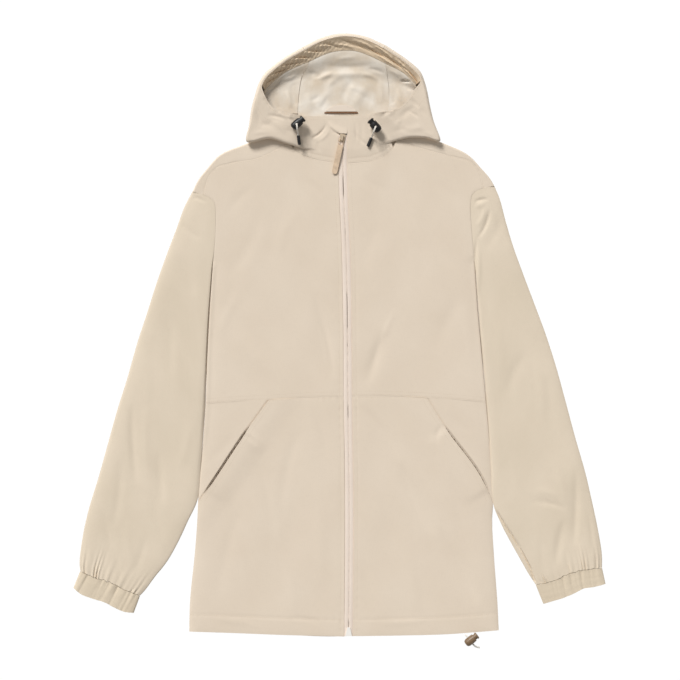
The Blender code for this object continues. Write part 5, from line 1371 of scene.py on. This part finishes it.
LOOKS = {
    "shell": woven("shell_cloth_look", linear(221, 205, 185), linear(226, 211, 192), 0.45, 0.22, 0.82, 0.1),
    # The sleeves are the shell cloth made a little darker: painted shade.
    "sleeve": woven("sleeve_shaded_look", linear(217, 202, 180), linear(224, 209, 188), 0.45, 0.22, 0.82, 0.1),
    "cuff": woven("cuff_look", linear(212, 196, 172), linear(219, 204, 181), 0.45, 0.3, 0.82, 0.1),
    # The facing is the shell cloth made darker and warmer: painted shade inside the brim.
    "facing": woven("facing_shaded_look", linear(219, 196, 166), linear(227, 206, 178), 0.45, 0.25, 0.8, 0.08),
    # The lining's strong mottle towards a darker brown is painted patchy shade.
    "lining": woven("lining_patchy_shade_look", linear(211, 194, 171), linear(235, 227, 215), 0.35, 0.12, 0.5, 0.1, 0.1,
                    26.0),
    "patch": woven("patch_look", linear(226, 211, 194), linear(232, 218, 202), 0.35, 0.12, 0.5, 0.1, 0.1),
    # Dark brown for the strip under each pocket mouth: painted shade.
    "pocket": woven("pocket_mouth_shade_look", linear(92, 72, 50), linear(106, 84, 60), 0.45, 0.2, 0.85, 0.0),
    "tape": woven("tape_look", linear(230, 214, 199), linear(236, 221, 207), 0.8, 0.5, 0.75, 0.1, 0.3),
    # Dark brown for the hanger loop: painted shadow.
    "loop_shadow_brown": woven("loop_shadow_look", linear(118, 80, 52), linear(136, 96, 64), 0.8, 0.5, 0.7, 0.05, 0.3),
    # The stitches are real, but their colour, darker than the cloth, is painted shade along the seams.
    "thread": moulded("thread_shaded_look", linear(206, 188, 165), 0.6, 0.4),
    "coil": moulded("coil_look", linear(222, 205, 190), 0.45, 0.2),
    "black": moulded("black_plastic_look", linear(21, 20, 21), 0.42, 0.25, 0.2),
    "tan": moulded("tan_plastic_look", linear(124, 100, 74), 0.45, 0.25),
    "pale": moulded("zip_box_look", linear(240, 236, 229), 0.4, 0.15, 0.03),
    "pull": moulded("pull_look", linear(213, 188, 160), 0.5, 0.35),
    "metal": moulded("zip_metal_look", linear(203, 184, 158), 0.38, 0.2, 0.08, 0.15),
    "cord": braided("cord_look", linear(196, 186, 172), linear(238, 233, 224)),
}


def far_light(name, place, spread, strength):
    """A soft light from far away, so that it is as strong on every part."""
    lamp = bpy.data.lights.new(name, "SUN")
    lamp.angle = math.radians(spread)
    lamp.energy = strength
    made = placed(name, lamp)
    made.location = place
    made.rotation_euler = (-mathutils.Vector(place)).to_track_quat("-Z", "Y").to_euler()


def studio():
    """White floor, a soft key light from the upper left, a wide fill, and the camera above."""
    mesh = bpy.data.meshes.new("floor")
    corners = [(x * FLOOR_SIZE, y * FLOOR_SIZE, FLOOR_Z) for x, y in ((-1, -1), (1, -1), (1, 1), (-1, 1))]
    mesh.from_pydata(corners, [], [(0, 1, 2, 3)])
    made, nodes, links, shader = look("floor_look", (0.03, 0.03, 0.03), 0.9, Specular_IOR_Level=0.0)
    shader.inputs["Emission Color"].default_value = (1, 1, 1, 1)
    shader.inputs["Emission Strength"].default_value = FLOOR_GLOW
    place = nodes.new("ShaderNodeTexCoord")
    mottle = noise(nodes, links, place.outputs["Object"], 3, 3)
    links.new(ramp(nodes, links, mottle, (0.02,) * 3, (0.03,) * 3), shader.inputs["Base Color"])
    mesh.materials.append(made)
    placed("floor", mesh)
    world = bpy.data.worlds.new("studio")
    bpy.context.scene.world = world
    world.use_nodes = True
    sky = world.node_tree.nodes["Background"]
    sky.inputs["Color"].default_value = (1, 1, 1, 1)
    sky.inputs["Strength"].default_value = SKY
    far_light("key", KEY_PLACE, KEY_SPREAD, KEY_STRENGTH)
    lens = bpy.data.cameras.new("camera")
    lens.sensor_width = 36
    lens.lens = 36 * CAMERA_HEIGHT / (FRAME_PIXELS * PIXEL * MM)
    camera = placed("camera", lens)
    camera.location = ((FRAME_PIXELS / 2 - ORIGIN_PIXEL[0]) * PIXEL * MM,
                       (ORIGIN_PIXEL[1] - FRAME_PIXELS / 2) * PIXEL * MM, CAMERA_HEIGHT + BODY_LEVEL)
    bpy.context.scene.camera = camera
    bpy.context.scene.view_settings.view_transform = "Standard"


studio()
cords()
back()
front_upper("left", SIDE_LEFT, ARMHOLE_LEFT, YOKE_LEFT, NECK_LEFT, WAIST_LEFT, -1)
front_upper("right", SIDE_RIGHT, ARMHOLE_RIGHT, YOKE_RIGHT, NECK_RIGHT, WAIST_RIGHT, 1)
front_lower("left", SIDE_LEFT, SLANT_LEFT, WAIST_LEFT, HEM_LEFT, -1)
front_lower("right", SIDE_RIGHT, SLANT_RIGHT, WAIST_RIGHT, HEM_RIGHT, 1)
pocket_side("left", SIDE_LEFT, SLANT_LEFT, WAIST_LEFT, -1)
pocket_side("right", SIDE_RIGHT, SLANT_RIGHT, WAIST_RIGHT, 1)
sleeve("left", SLEEVE_LEFT, ARMHOLE_LEFT[::-1], CUFF_LEFT_TOP, (-0.2, -0.15))
sleeve("right", SLEEVE_RIGHT, ARMHOLE_RIGHT[::-1], CUFF_RIGHT_TOP, (0.2, -0.15))
cuff("left", CUFF_LEFT_TOP, CUFF_LEFT_END, (-0.2, -0.6))
cuff("right", CUFF_RIGHT_TOP, CUFF_RIGHT_END, (0.2, -0.6))
hood()
collar("left", NECK_LEFT, COLLAR_LEFT_SIDE, COLLAR_LEFT_ZIP, COLLAR_LEFT_TOP)
collar("right", NECK_RIGHT, COLLAR_RIGHT_SIDE, COLLAR_RIGHT_ZIP, COLLAR_RIGHT_TOP)
neck_pieces()
zip_tape("left", -1)
zip_tape("right", 1)
sewing()
zip_teeth()
dress_hardware()
